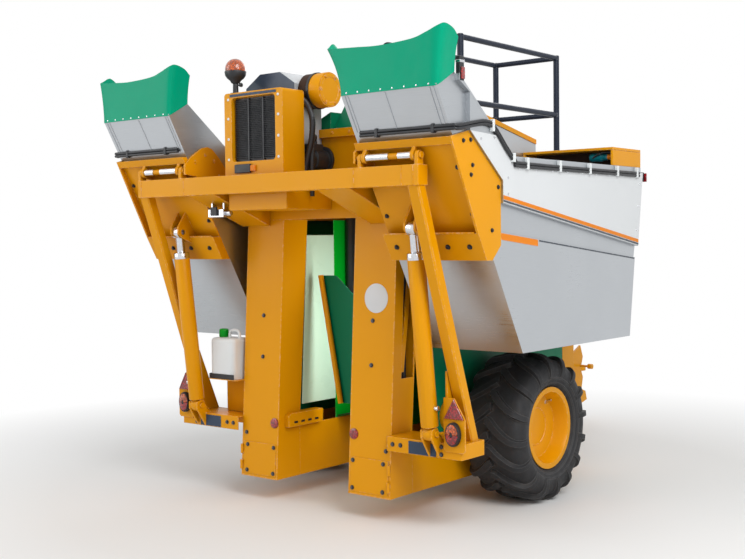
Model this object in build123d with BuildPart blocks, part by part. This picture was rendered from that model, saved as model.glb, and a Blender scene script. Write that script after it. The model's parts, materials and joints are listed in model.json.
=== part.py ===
from build123d import *
from math import hypot
import os

# Towed grape harvester. Millimetres, +X right, +Y forward, +Z up, origin on the ground under the middle.
# Lengths named ..._F are measured forward of the axle, ..._Z up from the ground, ..._X out from the middle.

# Reach ahead of the axle, clearances and sheet
FRONT_REACH = 2900.0
RUN = 0.3                # running clearance at pins and bores
SHEET = 5.0              # folded sheet thickness
PLATE = 12.0             # welded plate thickness

# Wheels
TYRE_D = 850.0
TYRE_W = 390.0
TYRE_WALL = 24.0
RIM_D = 470.0            # over the flanges
RIM_SEAT_D = 432.0
RIM_W = 330.0
RIM_WALL = 9.0
WHEEL_X = 805.0
DISC_OFFSET = 70.0       # wheel disc outward of the wheel's middle plane
HUB_D = 170.0
SPINDLE_D = 80.0
AXLE_Z = TYRE_D / 2
LEVEL_ARM_T = 30.0

# Side modules
BOX_IN_X = 270.0
BOX_OUT_X = 560.0
BOX_FOOT_Z = 133.0
BOX_TOP_Z = 430.0
BOX_FRONT_F = 1020.0
COLUMN_REAR_F = -978.0
COLUMN_DEPTH = 200.0
COLUMN_LEAN = 0.06       # forward per unit of height
ROOF_LOW_Z = 1640.0
ROOF_TOP_Z = 1760.0
POST_IN_X = 420.0
POST_DEPTH = 150.0

# Rear beam and struts
BEAM_HALF_X = 1030.0
BEAM_REAR_F = -1332.0
BEAM_DEPTH = 80.0
BEAM_LOW_Z = 1779.0
BEAM_TOP_Z = 1880.0
KNEE_IN_X = 380.0
KNEE_OUT_X = 600.0
KNEE_FOOT_Z = 1490.0
DRAIN_L = 200.0
DRAIN_W = 24.0
STRUT_X = 990.0
STRUT_D = 76.0
STRUT_WALL = 6.0
STRUT_HEAD_F = -1292.0
STRUT_FOOT_F = -848.0

# Lower cylinder brackets
BRACKET_OUT_X = 1040.0
BRACKET_REAR_F = -1000.0
BRACKET_DEPTH = 210.0
BRACKET_LOW_Z = 400.0
BRACKET_TOP_Z = 480.0
BOARD_T = 8.0

# Bins
BIN_IN_X = 635.0
BIN_OUT_X = 1212.0
BIN_LOW_PANEL_T = 10.0
BIN_TOP_PANEL_T = 24.0
BIN_FOOT_Z = 930.0
BIN_FOOT_REAR_F = -705.0
BIN_FOOT_FRONT_F = 504.0
SPOUT_F = -1430.0
SPOUT_Z = 2235.0
SPOUT_TIP_F = -1312.0
SPOUT_TIP_Z = 2324.0
KINK_F = -811.0
RAIL_Z = 1930.0
RAIL_W = 30.0
BIN_TOP_FRONT_F = 683.0
BIN_MID_FRONT_F = 573.0
BIN_MID_FRONT_Z = 1390.0
FOLD_REAR_Z = 1551.0
FOLD_FRONT_Z = 1396.0
STRIPE_REAR_Z = 1694.0
STRIPE_FRONT_Z = 1463.0
BIN_SLOPE = (SPOUT_F - BIN_FOOT_REAR_F) / (SPOUT_Z - BIN_FOOT_Z)

# Bin hinge and console
HINGE_F = -1308.0
HINGE_Z = 1925.0
PIN_D = 32.0
EAR_R = 28.0
EAR_T = 20.0
EAR_OUT_X = BEAM_HALF_X - 2
EAR_IN_X = 675.0
SKIN_T = 8.0
CONSOLE_TOP_Z = 2000.0
CONSOLE_SHELF_Z = 1545.0
CONSOLE_FOOT_Z = 1412.0
CONSOLE_PROUD = 55.0
CONSOLE_PLATE_FRONT_F = -907.0
CONSOLE_PEAK_F = -1190.0
CONSOLE_PEAK_Z = 2035.0
CONSOLE_BROW_Z = 1808.0
CONSOLE_CHIN_Z = 1486.0
CONSOLE_HEEL_F = -985.0

# Lift cylinders
LIFT_X = 872.0
LIFT_FOOT_F = -1035.0
LIFT_FOOT_Z = 530.0
LIFT_HEAD_F = -1158.0
LIFT_HEAD_Z = 1575.0
LIFT_BARREL_D = 92.0
LIFT_ROD_D = 50.0
LIFT_BARREL_L = 900.0
LIFT_EYE_R = 38.0
LIFT_EYE_T = 50.0
LIFT_PIN_D = 32.0

# Green lips
LIP_T = 8.0
LIP_H = 272.0
LIP_FLARE = 34.0
REAR_REACH = LIP_T - SPOUT_F
AXLE_Y = (REAR_REACH - FRONT_REACH) / 2

# Drawbar, jack and steering cylinder
DRAWBAR_X = -410.0
DRAWBAR_W = 120.0
DRAWBAR_LOW_Z = 350.0
DRAWBAR_PIVOT_F = 1105.0
DRAWBAR_BEAM_END_F = 2740.0
DRAWBAR_PIN_D = 50.0
EYE_R = 75.0
EYE_BORE_R = 25.0
EYE_T = 40.0
JACK_F = 2380.0
JACK_TUBE_D = 80.0
JACK_LEG_D = 60.0
STEER_FOOT_X = -120.0
STEER_FOOT_F = 1085.0
STEER_HEAD_X = -285.0
STEER_HEAD_F = 1570.0
STEER_BARREL_D = 70.0
STEER_ROD_D = 30.0
STEER_BARREL_L = 340.0
STEER_EYE_R = 28.0
STEER_EYE_T = 34.0

# View planes with their origin on the ground under the axle
SIDE = Plane(origin=(0, AXLE_Y, 0), x_dir=(0, 1, 0), z_dir=(1, 0, 0))
PLAN = Plane(origin=(0, AXLE_Y, 0), x_dir=(1, 0, 0), z_dir=(0, 0, 1))
BACK = Plane(origin=(0, AXLE_Y, 0), x_dir=(1, 0, 0), z_dir=(0, -1, 0))

os.makedirs("parts", exist_ok=True)


def slab(outline, x_from, x_to):
    """Prism of a side-view outline of (forward, height) points."""
    with BuildPart() as prism:
        with BuildSketch(SIDE.offset(x_from)):
            with BuildLine():
                Polyline(*outline, close=True)
            make_face()
        extrude(amount=x_to - x_from)
    return prism.part


def upright(outline, f_from, f_to):
    """Prism of a rear-view outline of (right, height) points, from f_from forward to f_to."""
    with BuildPart() as prism:
        with BuildSketch(BACK.offset(-f_to)):
            with BuildLine():
                Polyline(*outline, close=True)
            make_face()
        extrude(amount=f_to - f_from)
    return prism.part


def block(x_from, x_to, f_from, f_to, z_from, z_to):
    """Box by its limits across, forward and up."""
    with BuildPart() as box:
        with BuildSketch(PLAN.offset(z_from)):
            with Locations(((x_from + x_to) / 2, (f_from + f_to) / 2)):
                Rectangle(x_to - x_from, f_to - f_from)
        extrude(amount=z_to - z_from)
    return box.part


def place(x, f, z):
    """Point of the part's frame from across, forward of the axle and up."""
    return Vector(x, AXLE_Y + f, z)


def bar(start, end, diameter, bore=0):
    """Round bar or tube between two points."""
    with BuildPart() as rod:
        with BuildSketch(Plane(origin=start, z_dir=end - start)):
            Circle(diameter / 2)
            if bore:
                Circle(bore / 2, mode=Mode.SUBTRACT)
        extrude(amount=(end - start).length)
    return rod.part


def export_pair(right, name):
    """Write a right-hand piece and its mirror image."""
    with BuildPart() as left:
        mirror(right.part, about=Plane.YZ)
    for hand, piece in (("right", right), ("left", left)):
        piece.part.label = f"{name}_{hand}"
        export_step(piece.part, f"parts/{name}_{hand}.step")


def column_rear(z):
    """Rear face of the leaning columns at a height."""
    return COLUMN_REAR_F + COLUMN_LEAN * (z - BOX_FOOT_Z)


def bin_rear(z):
    """Outer face of the bins' sloping rear wall at a height."""
    return BIN_FOOT_REAR_F + BIN_SLOPE * (z - BIN_FOOT_Z)


# Tyre: a hollow ring, its section drawn beside the wheel's axis
HUB_AXIS = Axis(place(0, 0, AXLE_Z), (1, 0, 0))
TYRE_R = TYRE_D / 2
BEAD_R = RIM_SEAT_D / 2 + RUN
SIDEWALL_R = 330.0
BEAD_INSET = 45.0
SHOULDER_R = TYRE_R - 22
SHOULDER_X = TYRE_W / 2 - 18
with BuildPart() as tyre:
    with BuildSketch(Plane(place(WHEEL_X, 0, AXLE_Z), x_dir=(1, 0, 0), z_dir=(0, -1, 0))):
        with BuildLine():
            ThreePointArc((-SHOULDER_X, SHOULDER_R), (0, TYRE_R), (SHOULDER_X, SHOULDER_R))
            ThreePointArc((SHOULDER_X, SHOULDER_R), (TYRE_W / 2, SIDEWALL_R), (RIM_W / 2 - BEAD_INSET, BEAD_R))
            Line((RIM_W / 2 - BEAD_INSET, BEAD_R), (BEAD_INSET - RIM_W / 2, BEAD_R))
            ThreePointArc((BEAD_INSET - RIM_W / 2, BEAD_R), (-TYRE_W / 2, SIDEWALL_R), (-SHOULDER_X, SHOULDER_R))
        make_face()
        with Locations((0, (BEAD_R + TYRE_R - TYRE_WALL) / 2 - 5)):
            RectangleRounded(TYRE_W - 3 * TYRE_WALL, TYRE_R - TYRE_WALL - BEAD_R - 10, 60, mode=Mode.SUBTRACT)
    revolve(axis=HUB_AXIS)
export_pair(tyre, "tyre")

# Rim: barrel with flanges, dished disc and closed hub
SEAT_R = RIM_SEAT_D / 2
FLANGE_R = RIM_D / 2
HUB_R = HUB_D / 2
DISC_T = 14.0
with BuildPart() as rim:
    with BuildSketch(Plane(place(WHEEL_X, 0, AXLE_Z), x_dir=(1, 0, 0), z_dir=(0, -1, 0))):
        with BuildLine():
            Polyline(
                (-RIM_W / 2, SEAT_R - RIM_WALL),
                (-RIM_W / 2, FLANGE_R),
                (-RIM_W / 2 + RIM_WALL, FLANGE_R),
                (-RIM_W / 2 + RIM_WALL, SEAT_R),
                (RIM_W / 2 - RIM_WALL, SEAT_R),
                (RIM_W / 2 - RIM_WALL, FLANGE_R),
                (RIM_W / 2, FLANGE_R),
                (RIM_W / 2, SEAT_R - RIM_WALL),
                (DISC_OFFSET + DISC_T, SEAT_R - RIM_WALL - 30),
                (DISC_OFFSET, HUB_R + 20),
                (DISC_OFFSET, 0),
                (DISC_OFFSET - DISC_T, 0),
                (DISC_OFFSET - DISC_T, SPINDLE_D / 2 + RUN),
                (DISC_OFFSET - 120, SPINDLE_D / 2 + RUN),
                (DISC_OFFSET - 120, HUB_R),
                (DISC_OFFSET - DISC_T, HUB_R),
                (DISC_OFFSET, SEAT_R - RIM_WALL - 30),
                (DISC_OFFSET, SEAT_R - RIM_WALL),
                close=True,
            )
        make_face()
    revolve(axis=HUB_AXIS)
export_pair(rim, "rim")

# Levelling arm plates with their stub axles
LEVEL_PIVOT_F = -430.0
LEVEL_PIVOT_Z = 520.0
with BuildPart() as stub_axles:
    with BuildSketch(SIDE.offset(BOX_OUT_X)):
        with Locations((0, AXLE_Z), (LEVEL_PIVOT_F, LEVEL_PIVOT_Z)):
            Circle(90)
        make_hull()
    extrude(amount=LEVEL_ARM_T)
    add(bar(place(BOX_OUT_X, 0, AXLE_Z), place(WHEEL_X + DISC_OFFSET - DISC_T - 1, 0, AXLE_Z), SPINDLE_D))
    mirror(about=Plane.YZ)
stub_axles.part.label = "stub_axles"
export_step(stub_axles.part, "parts/stub_axles.step")

# Lower conveyor boxes, from the columns to the front
with BuildPart() as conveyor_boxes:
    add(block(BOX_IN_X, BOX_OUT_X, COLUMN_REAR_F + COLUMN_DEPTH, BOX_FRONT_F, BOX_FOOT_Z, BOX_TOP_Z))
    add(
        block(
            BOX_IN_X + SHEET, BOX_OUT_X - SHEET, COLUMN_REAR_F + COLUMN_DEPTH + SHEET, BOX_FRONT_F - SHEET,
            BOX_FOOT_Z + SHEET, BOX_TOP_Z,
        ),
        mode=Mode.SUBTRACT,
    )
    mirror(about=Plane.YZ)
conveyor_boxes.part.label = "conveyor_boxes"
export_step(conveyor_boxes.part, "parts/conveyor_boxes.step")

# Leaning rear columns, open at the top under the roof
with BuildPart() as rear_columns:
    for inset, z_foot, mode in ((0, BOX_FOOT_Z, Mode.ADD), (SHEET, BOX_FOOT_Z + SHEET, Mode.SUBTRACT)):
        shell = slab(
            (
                (column_rear(z_foot) + inset, z_foot),
                (column_rear(ROOF_LOW_Z) + inset, ROOF_LOW_Z),
                (column_rear(ROOF_LOW_Z) + COLUMN_DEPTH - inset, ROOF_LOW_Z),
                (COLUMN_REAR_F + COLUMN_DEPTH - inset, BOX_TOP_Z),
                (COLUMN_REAR_F + COLUMN_DEPTH - inset, z_foot),
            ),
            BOX_IN_X + inset,
            BOX_OUT_X - inset,
        )
        add(shell, mode=mode)
    mirror(about=Plane.YZ)
rear_columns.part.label = "rear_columns"
export_step(rear_columns.part, "parts/rear_columns.step")

# Front posts
with BuildPart() as front_posts:
    add(block(POST_IN_X, BOX_OUT_X, BOX_FRONT_F - POST_DEPTH, BOX_FRONT_F, BOX_TOP_Z, ROOF_LOW_Z))
    mirror(about=Plane.YZ)
front_posts.part.label = "front_posts"
export_step(front_posts.part, "parts/front_posts.step")

# Roof frame: side beams, cross members and the deck on them
ROOF_REAR_F = column_rear(ROOF_LOW_Z)
ROOF_BEAM_W = 80.0
RIB_T = 20.0
BEAM_WALL = 6.0
DECK_T = 8.0
PLATFORM_FRONT_F = 1390.0
PLATFORM_HALF_X = 300.0
PLATFORM_T = 30.0
with BuildPart() as roof_frame:
    add(block(BOX_OUT_X - ROOF_BEAM_W, BOX_OUT_X, ROOF_REAR_F, BOX_FRONT_F, ROOF_LOW_Z, ROOF_TOP_Z))
    add(
        block(
            BOX_OUT_X - ROOF_BEAM_W + BEAM_WALL, BOX_OUT_X - BEAM_WALL, ROOF_REAR_F + BEAM_WALL, BOX_FRONT_F,
            ROOF_LOW_Z + BEAM_WALL, ROOF_TOP_Z - DECK_T,
        ),
        mode=Mode.SUBTRACT,
    )
    mirror(about=Plane.YZ)
    for f_from in (ROOF_REAR_F, 60, BOX_FRONT_F - RIB_T):
        inner = BOX_OUT_X - ROOF_BEAM_W
        add(block(-inner, inner, f_from, f_from + RIB_T, ROOF_LOW_Z, ROOF_TOP_Z))
    add(block(-BOX_OUT_X, BOX_OUT_X, ROOF_REAR_F, BOX_FRONT_F, ROOF_TOP_Z - DECK_T, ROOF_TOP_Z))
    add(block(-PLATFORM_HALF_X, PLATFORM_HALF_X, BOX_FRONT_F, PLATFORM_FRONT_F, ROOF_TOP_Z - PLATFORM_T, ROOF_TOP_Z))
roof_frame.part.label = "roof_frame"
export_step(roof_frame.part, "parts/roof_frame.step")

# Rear beam with its knee boxes and hinge ears
with BuildPart() as rear_beam:
    beam_front_f = BEAM_REAR_F + BEAM_DEPTH
    add(
        slab(
            (
                (BEAM_REAR_F, BEAM_LOW_Z),
                (column_rear(KNEE_FOOT_Z), KNEE_FOOT_Z),
                (column_rear(ROOF_LOW_Z), ROOF_LOW_Z),
                (column_rear(ROOF_LOW_Z), ROOF_TOP_Z),
                (beam_front_f, BEAM_TOP_Z - 20),
                (beam_front_f, BEAM_LOW_Z),
            ),
            KNEE_IN_X,
            KNEE_OUT_X,
        )
    )
    add(
        slab(
            (
                (beam_front_f + BEAM_WALL, BEAM_LOW_Z - 40),
                (column_rear(KNEE_FOOT_Z), KNEE_FOOT_Z + 12),
                (column_rear(ROOF_LOW_Z), ROOF_LOW_Z),
                (column_rear(ROOF_LOW_Z), ROOF_TOP_Z - BEAM_WALL),
                (beam_front_f + BEAM_WALL, BEAM_TOP_Z - 20 - BEAM_WALL - 2),
            ),
            KNEE_IN_X + BEAM_WALL,
            KNEE_OUT_X - BEAM_WALL,
        ),
        mode=Mode.SUBTRACT,
    )
    mirror(about=Plane.YZ)
    add(block(-BEAM_HALF_X, BEAM_HALF_X, BEAM_REAR_F, beam_front_f, BEAM_LOW_Z, BEAM_TOP_Z))
    add(
        block(
            BEAM_WALL - BEAM_HALF_X, BEAM_HALF_X - BEAM_WALL, BEAM_REAR_F + BEAM_WALL, beam_front_f - BEAM_WALL,
            BEAM_LOW_Z + BEAM_WALL, BEAM_TOP_Z - BEAM_WALL,
        ),
        mode=Mode.SUBTRACT,
    )
    beam_mid_f = BEAM_REAR_F + BEAM_DEPTH / 2
    add(
        block(
            -DRAIN_L / 2, DRAIN_L / 2, beam_mid_f - DRAIN_W / 2, beam_mid_f + DRAIN_W / 2, BEAM_LOW_Z,
            BEAM_LOW_Z + BEAM_WALL,
        ),
        mode=Mode.SUBTRACT,
    )
    for x_ear in (EAR_IN_X - EAR_T, EAR_OUT_X - EAR_T, -EAR_IN_X, -EAR_OUT_X):
        with BuildSketch(SIDE.offset(x_ear)):
            with Locations((HINGE_F, HINGE_Z), (HINGE_F, BEAM_TOP_Z - EAR_R / 2)):
                Circle(EAR_R - 5)
            make_hull()
            with Locations((HINGE_F, HINGE_Z)):
                Circle(PIN_D / 2 + RUN, mode=Mode.SUBTRACT)
        extrude(amount=EAR_T)
rear_beam.part.label = "rear_beam"
export_step(rear_beam.part, "parts/rear_beam.step")

# Diagonal struts from the beam's ends down to the cylinder brackets
STRUT_TOP = place(STRUT_X, STRUT_HEAD_F, BEAM_LOW_Z)
STRUT_FOOT = place(STRUT_X, STRUT_FOOT_F, BRACKET_TOP_Z)
STRUT_DIR = (STRUT_TOP - STRUT_FOOT).normalized()
with BuildPart() as struts:
    add(bar(STRUT_FOOT - STRUT_DIR * 80, STRUT_TOP + STRUT_DIR * 80, STRUT_D, STRUT_D - 2 * STRUT_WALL))
    split(bisect_by=Plane.XY.offset(BEAM_LOW_Z), keep=Keep.BOTTOM)
    split(bisect_by=Plane.XY.offset(BRACKET_TOP_Z), keep=Keep.TOP)
    mirror(about=Plane.YZ)
struts.part.label = "struts"
export_step(struts.part, "parts/struts.step")

# Lower cylinder brackets with the lift cylinders' clevises
CLEVIS_GAP = LIFT_EYE_T + 2 * RUN
with BuildPart() as cylinder_brackets:
    add(
        block(
            BOX_OUT_X, BRACKET_OUT_X, BRACKET_REAR_F, BRACKET_REAR_F + BRACKET_DEPTH, BRACKET_LOW_Z, BRACKET_TOP_Z
        )
    )
    add(
        block(
            BOX_OUT_X, BRACKET_OUT_X - SHEET, BRACKET_REAR_F + SHEET, BRACKET_REAR_F + BRACKET_DEPTH - SHEET,
            BRACKET_LOW_Z, BRACKET_TOP_Z - SHEET,
        ),
        mode=Mode.SUBTRACT,
    )
    for x_ear in (LIFT_X - CLEVIS_GAP / 2 - PLATE, LIFT_X + CLEVIS_GAP / 2):
        with BuildSketch(SIDE.offset(x_ear)):
            with BuildLine():
                Polyline(
                    (BRACKET_REAR_F, BRACKET_LOW_Z),
                    (LIFT_FOOT_F - LIFT_EYE_R, LIFT_FOOT_Z - 20),
                    (LIFT_FOOT_F - LIFT_EYE_R, LIFT_FOOT_Z + 20),
                    (LIFT_FOOT_F, LIFT_FOOT_Z + LIFT_EYE_R),
                    (BRACKET_REAR_F + 40, BRACKET_TOP_Z),
                    (BRACKET_REAR_F + 40, BRACKET_LOW_Z),
                    close=True,
                )
            make_face()
            with Locations((LIFT_FOOT_F, LIFT_FOOT_Z)):
                Circle(LIFT_PIN_D / 2 + RUN, mode=Mode.SUBTRACT)
        extrude(amount=PLATE)
    mirror(about=Plane.YZ)
cylinder_brackets.part.label = "cylinder_brackets"
export_step(cylinder_brackets.part, "parts/cylinder_brackets.step")

# Lamp boards on the brackets' rear faces
BOARD_X = 987.0
BOARD_W = 128.0
BOARD_LOW_Z = 430.0
BOARD_TOP_Z = 600.0
LAMP_R = 48.0
LAMP_Z = 520.0
LAMP_T = 34.0
TRIANGLE_T = 8.0
with BuildPart() as lamp_boards:
    with BuildSketch(BACK.offset(-BRACKET_REAR_F)):
        with Locations((BOARD_X, (BOARD_LOW_Z + BOARD_TOP_Z) / 2)):
            RectangleRounded(BOARD_W, BOARD_TOP_Z - BOARD_LOW_Z, 20)
    extrude(amount=BOARD_T)
    mirror(about=Plane.YZ)
lamp_boards.part.label = "lamp_boards"
export_step(lamp_boards.part, "parts/lamp_boards.step")

with BuildPart() as tail_lamps:
    with BuildSketch(BACK.offset(BOARD_T - BRACKET_REAR_F)):
        with Locations((BOARD_X, LAMP_Z)):
            Circle(LAMP_R)
    extrude(amount=LAMP_T)
    fillet(tail_lamps.faces().sort_by(Axis.Y)[0].edges(), 10)
    mirror(about=Plane.YZ)
tail_lamps.part.label = "tail_lamps"
export_step(tail_lamps.part, "parts/tail_lamps.step")

with BuildPart() as reflectors:
    with BuildSketch(BACK.offset(-BRACKET_REAR_F)):
        with BuildLine():
            Polyline(
                (BOARD_X - BOARD_W / 2, BOARD_TOP_Z),
                (BOARD_X + BOARD_W / 2, BOARD_TOP_Z),
                (BOARD_X, BOARD_TOP_Z + 0.87 * BOARD_W),
                close=True,
            )
        make_face()
    extrude(amount=TRIANGLE_T)
    mirror(about=Plane.YZ)
reflectors.part.label = "reflectors"
export_step(reflectors.part, "parts/reflectors.step")

# Tunnel: outer walls, inner liners, stainless guides
WALL_REAR_F = COLUMN_REAR_F + COLUMN_DEPTH + 140
with BuildPart() as tunnel_walls:
    add(block(BOX_OUT_X - SHEET, BOX_OUT_X, WALL_REAR_F, BOX_FRONT_F - POST_DEPTH, BOX_TOP_Z, ROOF_LOW_Z))
    mirror(about=Plane.YZ)
tunnel_walls.part.label = "tunnel_walls"
export_step(tunnel_walls.part, "parts/tunnel_walls.step")

GUIDE_FRONT_F = -450.0
with BuildPart() as tunnel_liners:
    add(block(BOX_IN_X, BOX_IN_X + SHEET, GUIDE_FRONT_F, BOX_FRONT_F, BOX_TOP_Z, ROOF_LOW_Z))
    mirror(about=Plane.YZ)
tunnel_liners.part.label = "tunnel_liners"
export_step(tunnel_liners.part, "parts/tunnel_liners.step")

GUIDE_LOW_Z = 550.0
GUIDE_TOP_Z = 1550.0
with BuildPart() as tunnel_guides:
    add(
        slab(
            (
                (column_rear(GUIDE_LOW_Z) + COLUMN_DEPTH, GUIDE_LOW_Z),
                (column_rear(GUIDE_TOP_Z) + COLUMN_DEPTH, GUIDE_TOP_Z),
                (GUIDE_FRONT_F, GUIDE_TOP_Z),
                (GUIDE_FRONT_F, GUIDE_LOW_Z),
            ),
            BOX_IN_X,
            BOX_IN_X + SHEET,
        )
    )
    mirror(about=Plane.YZ)
tunnel_guides.part.label = "tunnel_guides"
export_step(tunnel_guides.part, "parts/tunnel_guides.step")

# Rear flap across the tunnel, hung on the right-hand guide
FLAP_F = -640.0
FLAP_T = 8.0
with BuildPart() as rear_flap:
    add(
        upright(
            ((-60, 560), (BOX_IN_X, 560), (BOX_IN_X, 1010), (-90, 1310), (-205, 1310)),
            FLAP_F,
            FLAP_F + FLAP_T,
        )
    )
rear_flap.part.label = "rear_flap"
export_step(rear_flap.part, "parts/rear_flap.step")

with BuildPart() as flap_bar:
    add(bar(place(-52, FLAP_F - 16, 560), place(-197, FLAP_F - 16, 1310), 32))
flap_bar.part.label = "flap_bar"
export_step(flap_bar.part, "parts/flap_bar.step")

# Catch plates over the conveyors
CATCH_GAP = 30.0
with BuildPart() as catch_plates:
    add(
        upright(
            (
                (BOX_IN_X + 40, BOX_TOP_Z),
                (CATCH_GAP, BOX_TOP_Z + 60),
                (CATCH_GAP, BOX_TOP_Z + 66),
                (BOX_IN_X + 40, BOX_TOP_Z + 6),
            ),
            -440,
            860,
        )
    )
    split(bisect_by=Plane.YZ.offset(BOX_IN_X), keep=Keep.BOTTOM)
    mirror(about=Plane.YZ)
catch_plates.part.label = "catch_plates"
export_step(catch_plates.part, "parts/catch_plates.step")

# Shaker rods bowed between two posts on each side
ROD_D = 32.0
ROD_LEVELS = 6
ROD_LOW_Z = 640.0
ROD_PITCH = 130.0
ROD_REAR_F = -330.0
ROD_FRONT_F = 560.0
ROD_POST_X = 236.0
ROD_BOW_X = 95.0
POST_ROD_D = 60.0
with BuildPart() as shakers:
    for level in range(ROD_LEVELS):
        z = ROD_LOW_Z + level * ROD_PITCH
        with BuildLine() as bow:
            ThreePointArc(
                place(ROD_POST_X, ROD_REAR_F, z),
                place(ROD_BOW_X, (ROD_REAR_F + ROD_FRONT_F) / 2, z),
                place(ROD_POST_X, ROD_FRONT_F, z),
            )
        with BuildSketch(Plane(origin=bow.line @ 0, z_dir=bow.line % 0)):
            Circle(ROD_D / 2)
        sweep(path=bow.line)
    for f in (ROD_REAR_F, ROD_FRONT_F):
        add(bar(place(ROD_POST_X, f, ROD_LOW_Z - 60), place(ROD_POST_X, f, ROOF_TOP_Z - DECK_T), POST_ROD_D))
    mirror(about=Plane.YZ)
shakers.part.label = "shakers"
export_step(shakers.part, "parts/shakers.step")

# Bins: folded sheet hoppers with a sloping spout
BIN_OUTLINE = (
    (BIN_FOOT_REAR_F, BIN_FOOT_Z),
    (SPOUT_F, SPOUT_Z),
    (SPOUT_TIP_F, SPOUT_TIP_Z),
    (KINK_F, RAIL_Z),
    (BIN_TOP_FRONT_F - 60, RAIL_Z),
    (BIN_TOP_FRONT_F, RAIL_Z - 60),
    (BIN_MID_FRONT_F, BIN_MID_FRONT_Z),
    (BIN_FOOT_FRONT_F, BIN_FOOT_Z),
)
WALL_LEAN = hypot(1, BIN_SLOPE)
INNER_REAR_F = bin_rear(BIN_FOOT_Z + SHEET) + SHEET * WALL_LEAN
INNER_OUTLINE = (
    (INNER_REAR_F, BIN_FOOT_Z + SHEET),
    (INNER_REAR_F + BIN_SLOPE * 2000, BIN_FOOT_Z + SHEET + 2000),
    (BIN_TOP_FRONT_F - SHEET, BIN_FOOT_Z + SHEET + 2000),
    (BIN_TOP_FRONT_F - SHEET, RAIL_Z - 60),
    (BIN_MID_FRONT_F - SHEET, BIN_MID_FRONT_Z),
    (BIN_FOOT_FRONT_F - SHEET, BIN_FOOT_Z + SHEET),
)
with BuildPart() as hopper:
    add(slab(BIN_OUTLINE, BIN_IN_X, BIN_OUT_X))
    add(slab(INNER_OUTLINE, BIN_IN_X + SHEET, BIN_OUT_X - SHEET), mode=Mode.SUBTRACT)
    add(
        slab(
            (
                (CONSOLE_PLATE_FRONT_F, FOLD_REAR_Z),
                (BIN_MID_FRONT_F, FOLD_FRONT_Z),
                (BIN_FOOT_FRONT_F, BIN_FOOT_Z),
                (BIN_FOOT_REAR_F, BIN_FOOT_Z),
                (bin_rear(CONSOLE_FOOT_Z), CONSOLE_FOOT_Z),
                (CONSOLE_HEEL_F, CONSOLE_FOOT_Z),
                (CONSOLE_PLATE_FRONT_F, CONSOLE_CHIN_Z),
            ),
            BIN_OUT_X,
            BIN_OUT_X + BIN_LOW_PANEL_T,
        )
    )
    add(
        slab(
            (
                (CONSOLE_PLATE_FRONT_F, STRIPE_REAR_Z),
                (CONSOLE_PLATE_FRONT_F, CONSOLE_BROW_Z),
                (CONSOLE_PEAK_F, CONSOLE_PEAK_Z),
                (CONSOLE_PEAK_F, CONSOLE_PEAK_Z + 180),
                (KINK_F, RAIL_Z - RAIL_W),
                (BIN_TOP_FRONT_F - 30, RAIL_Z - RAIL_W),
                (BIN_MID_FRONT_F + 15, STRIPE_FRONT_Z),
            ),
            BIN_OUT_X,
            BIN_OUT_X + BIN_TOP_PANEL_T,
        )
    )
    add(
        block(
            BIN_OUT_X - SHEET, BIN_OUT_X + BIN_TOP_PANEL_T, KINK_F, BIN_TOP_FRONT_F - 60, RAIL_Z - RAIL_W, RAIL_Z
        )
    )
export_pair(hopper, "hopper")


# Hinge consoles on the bins' rear walls, with lugs, pin and lift clevis
def skin(z_from, z_to, out_from, out_to):
    """Outline on the bin's rear wall between two heights, from out_from to out_to proud of the wall."""
    return (
        (bin_rear(z_from) - out_from * WALL_LEAN, z_from),
        (bin_rear(z_to) - out_from * WALL_LEAN, z_to),
        (bin_rear(z_to) - out_to * WALL_LEAN, z_to),
        (bin_rear(z_from) - out_to * WALL_LEAN, z_from),
    )


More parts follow.
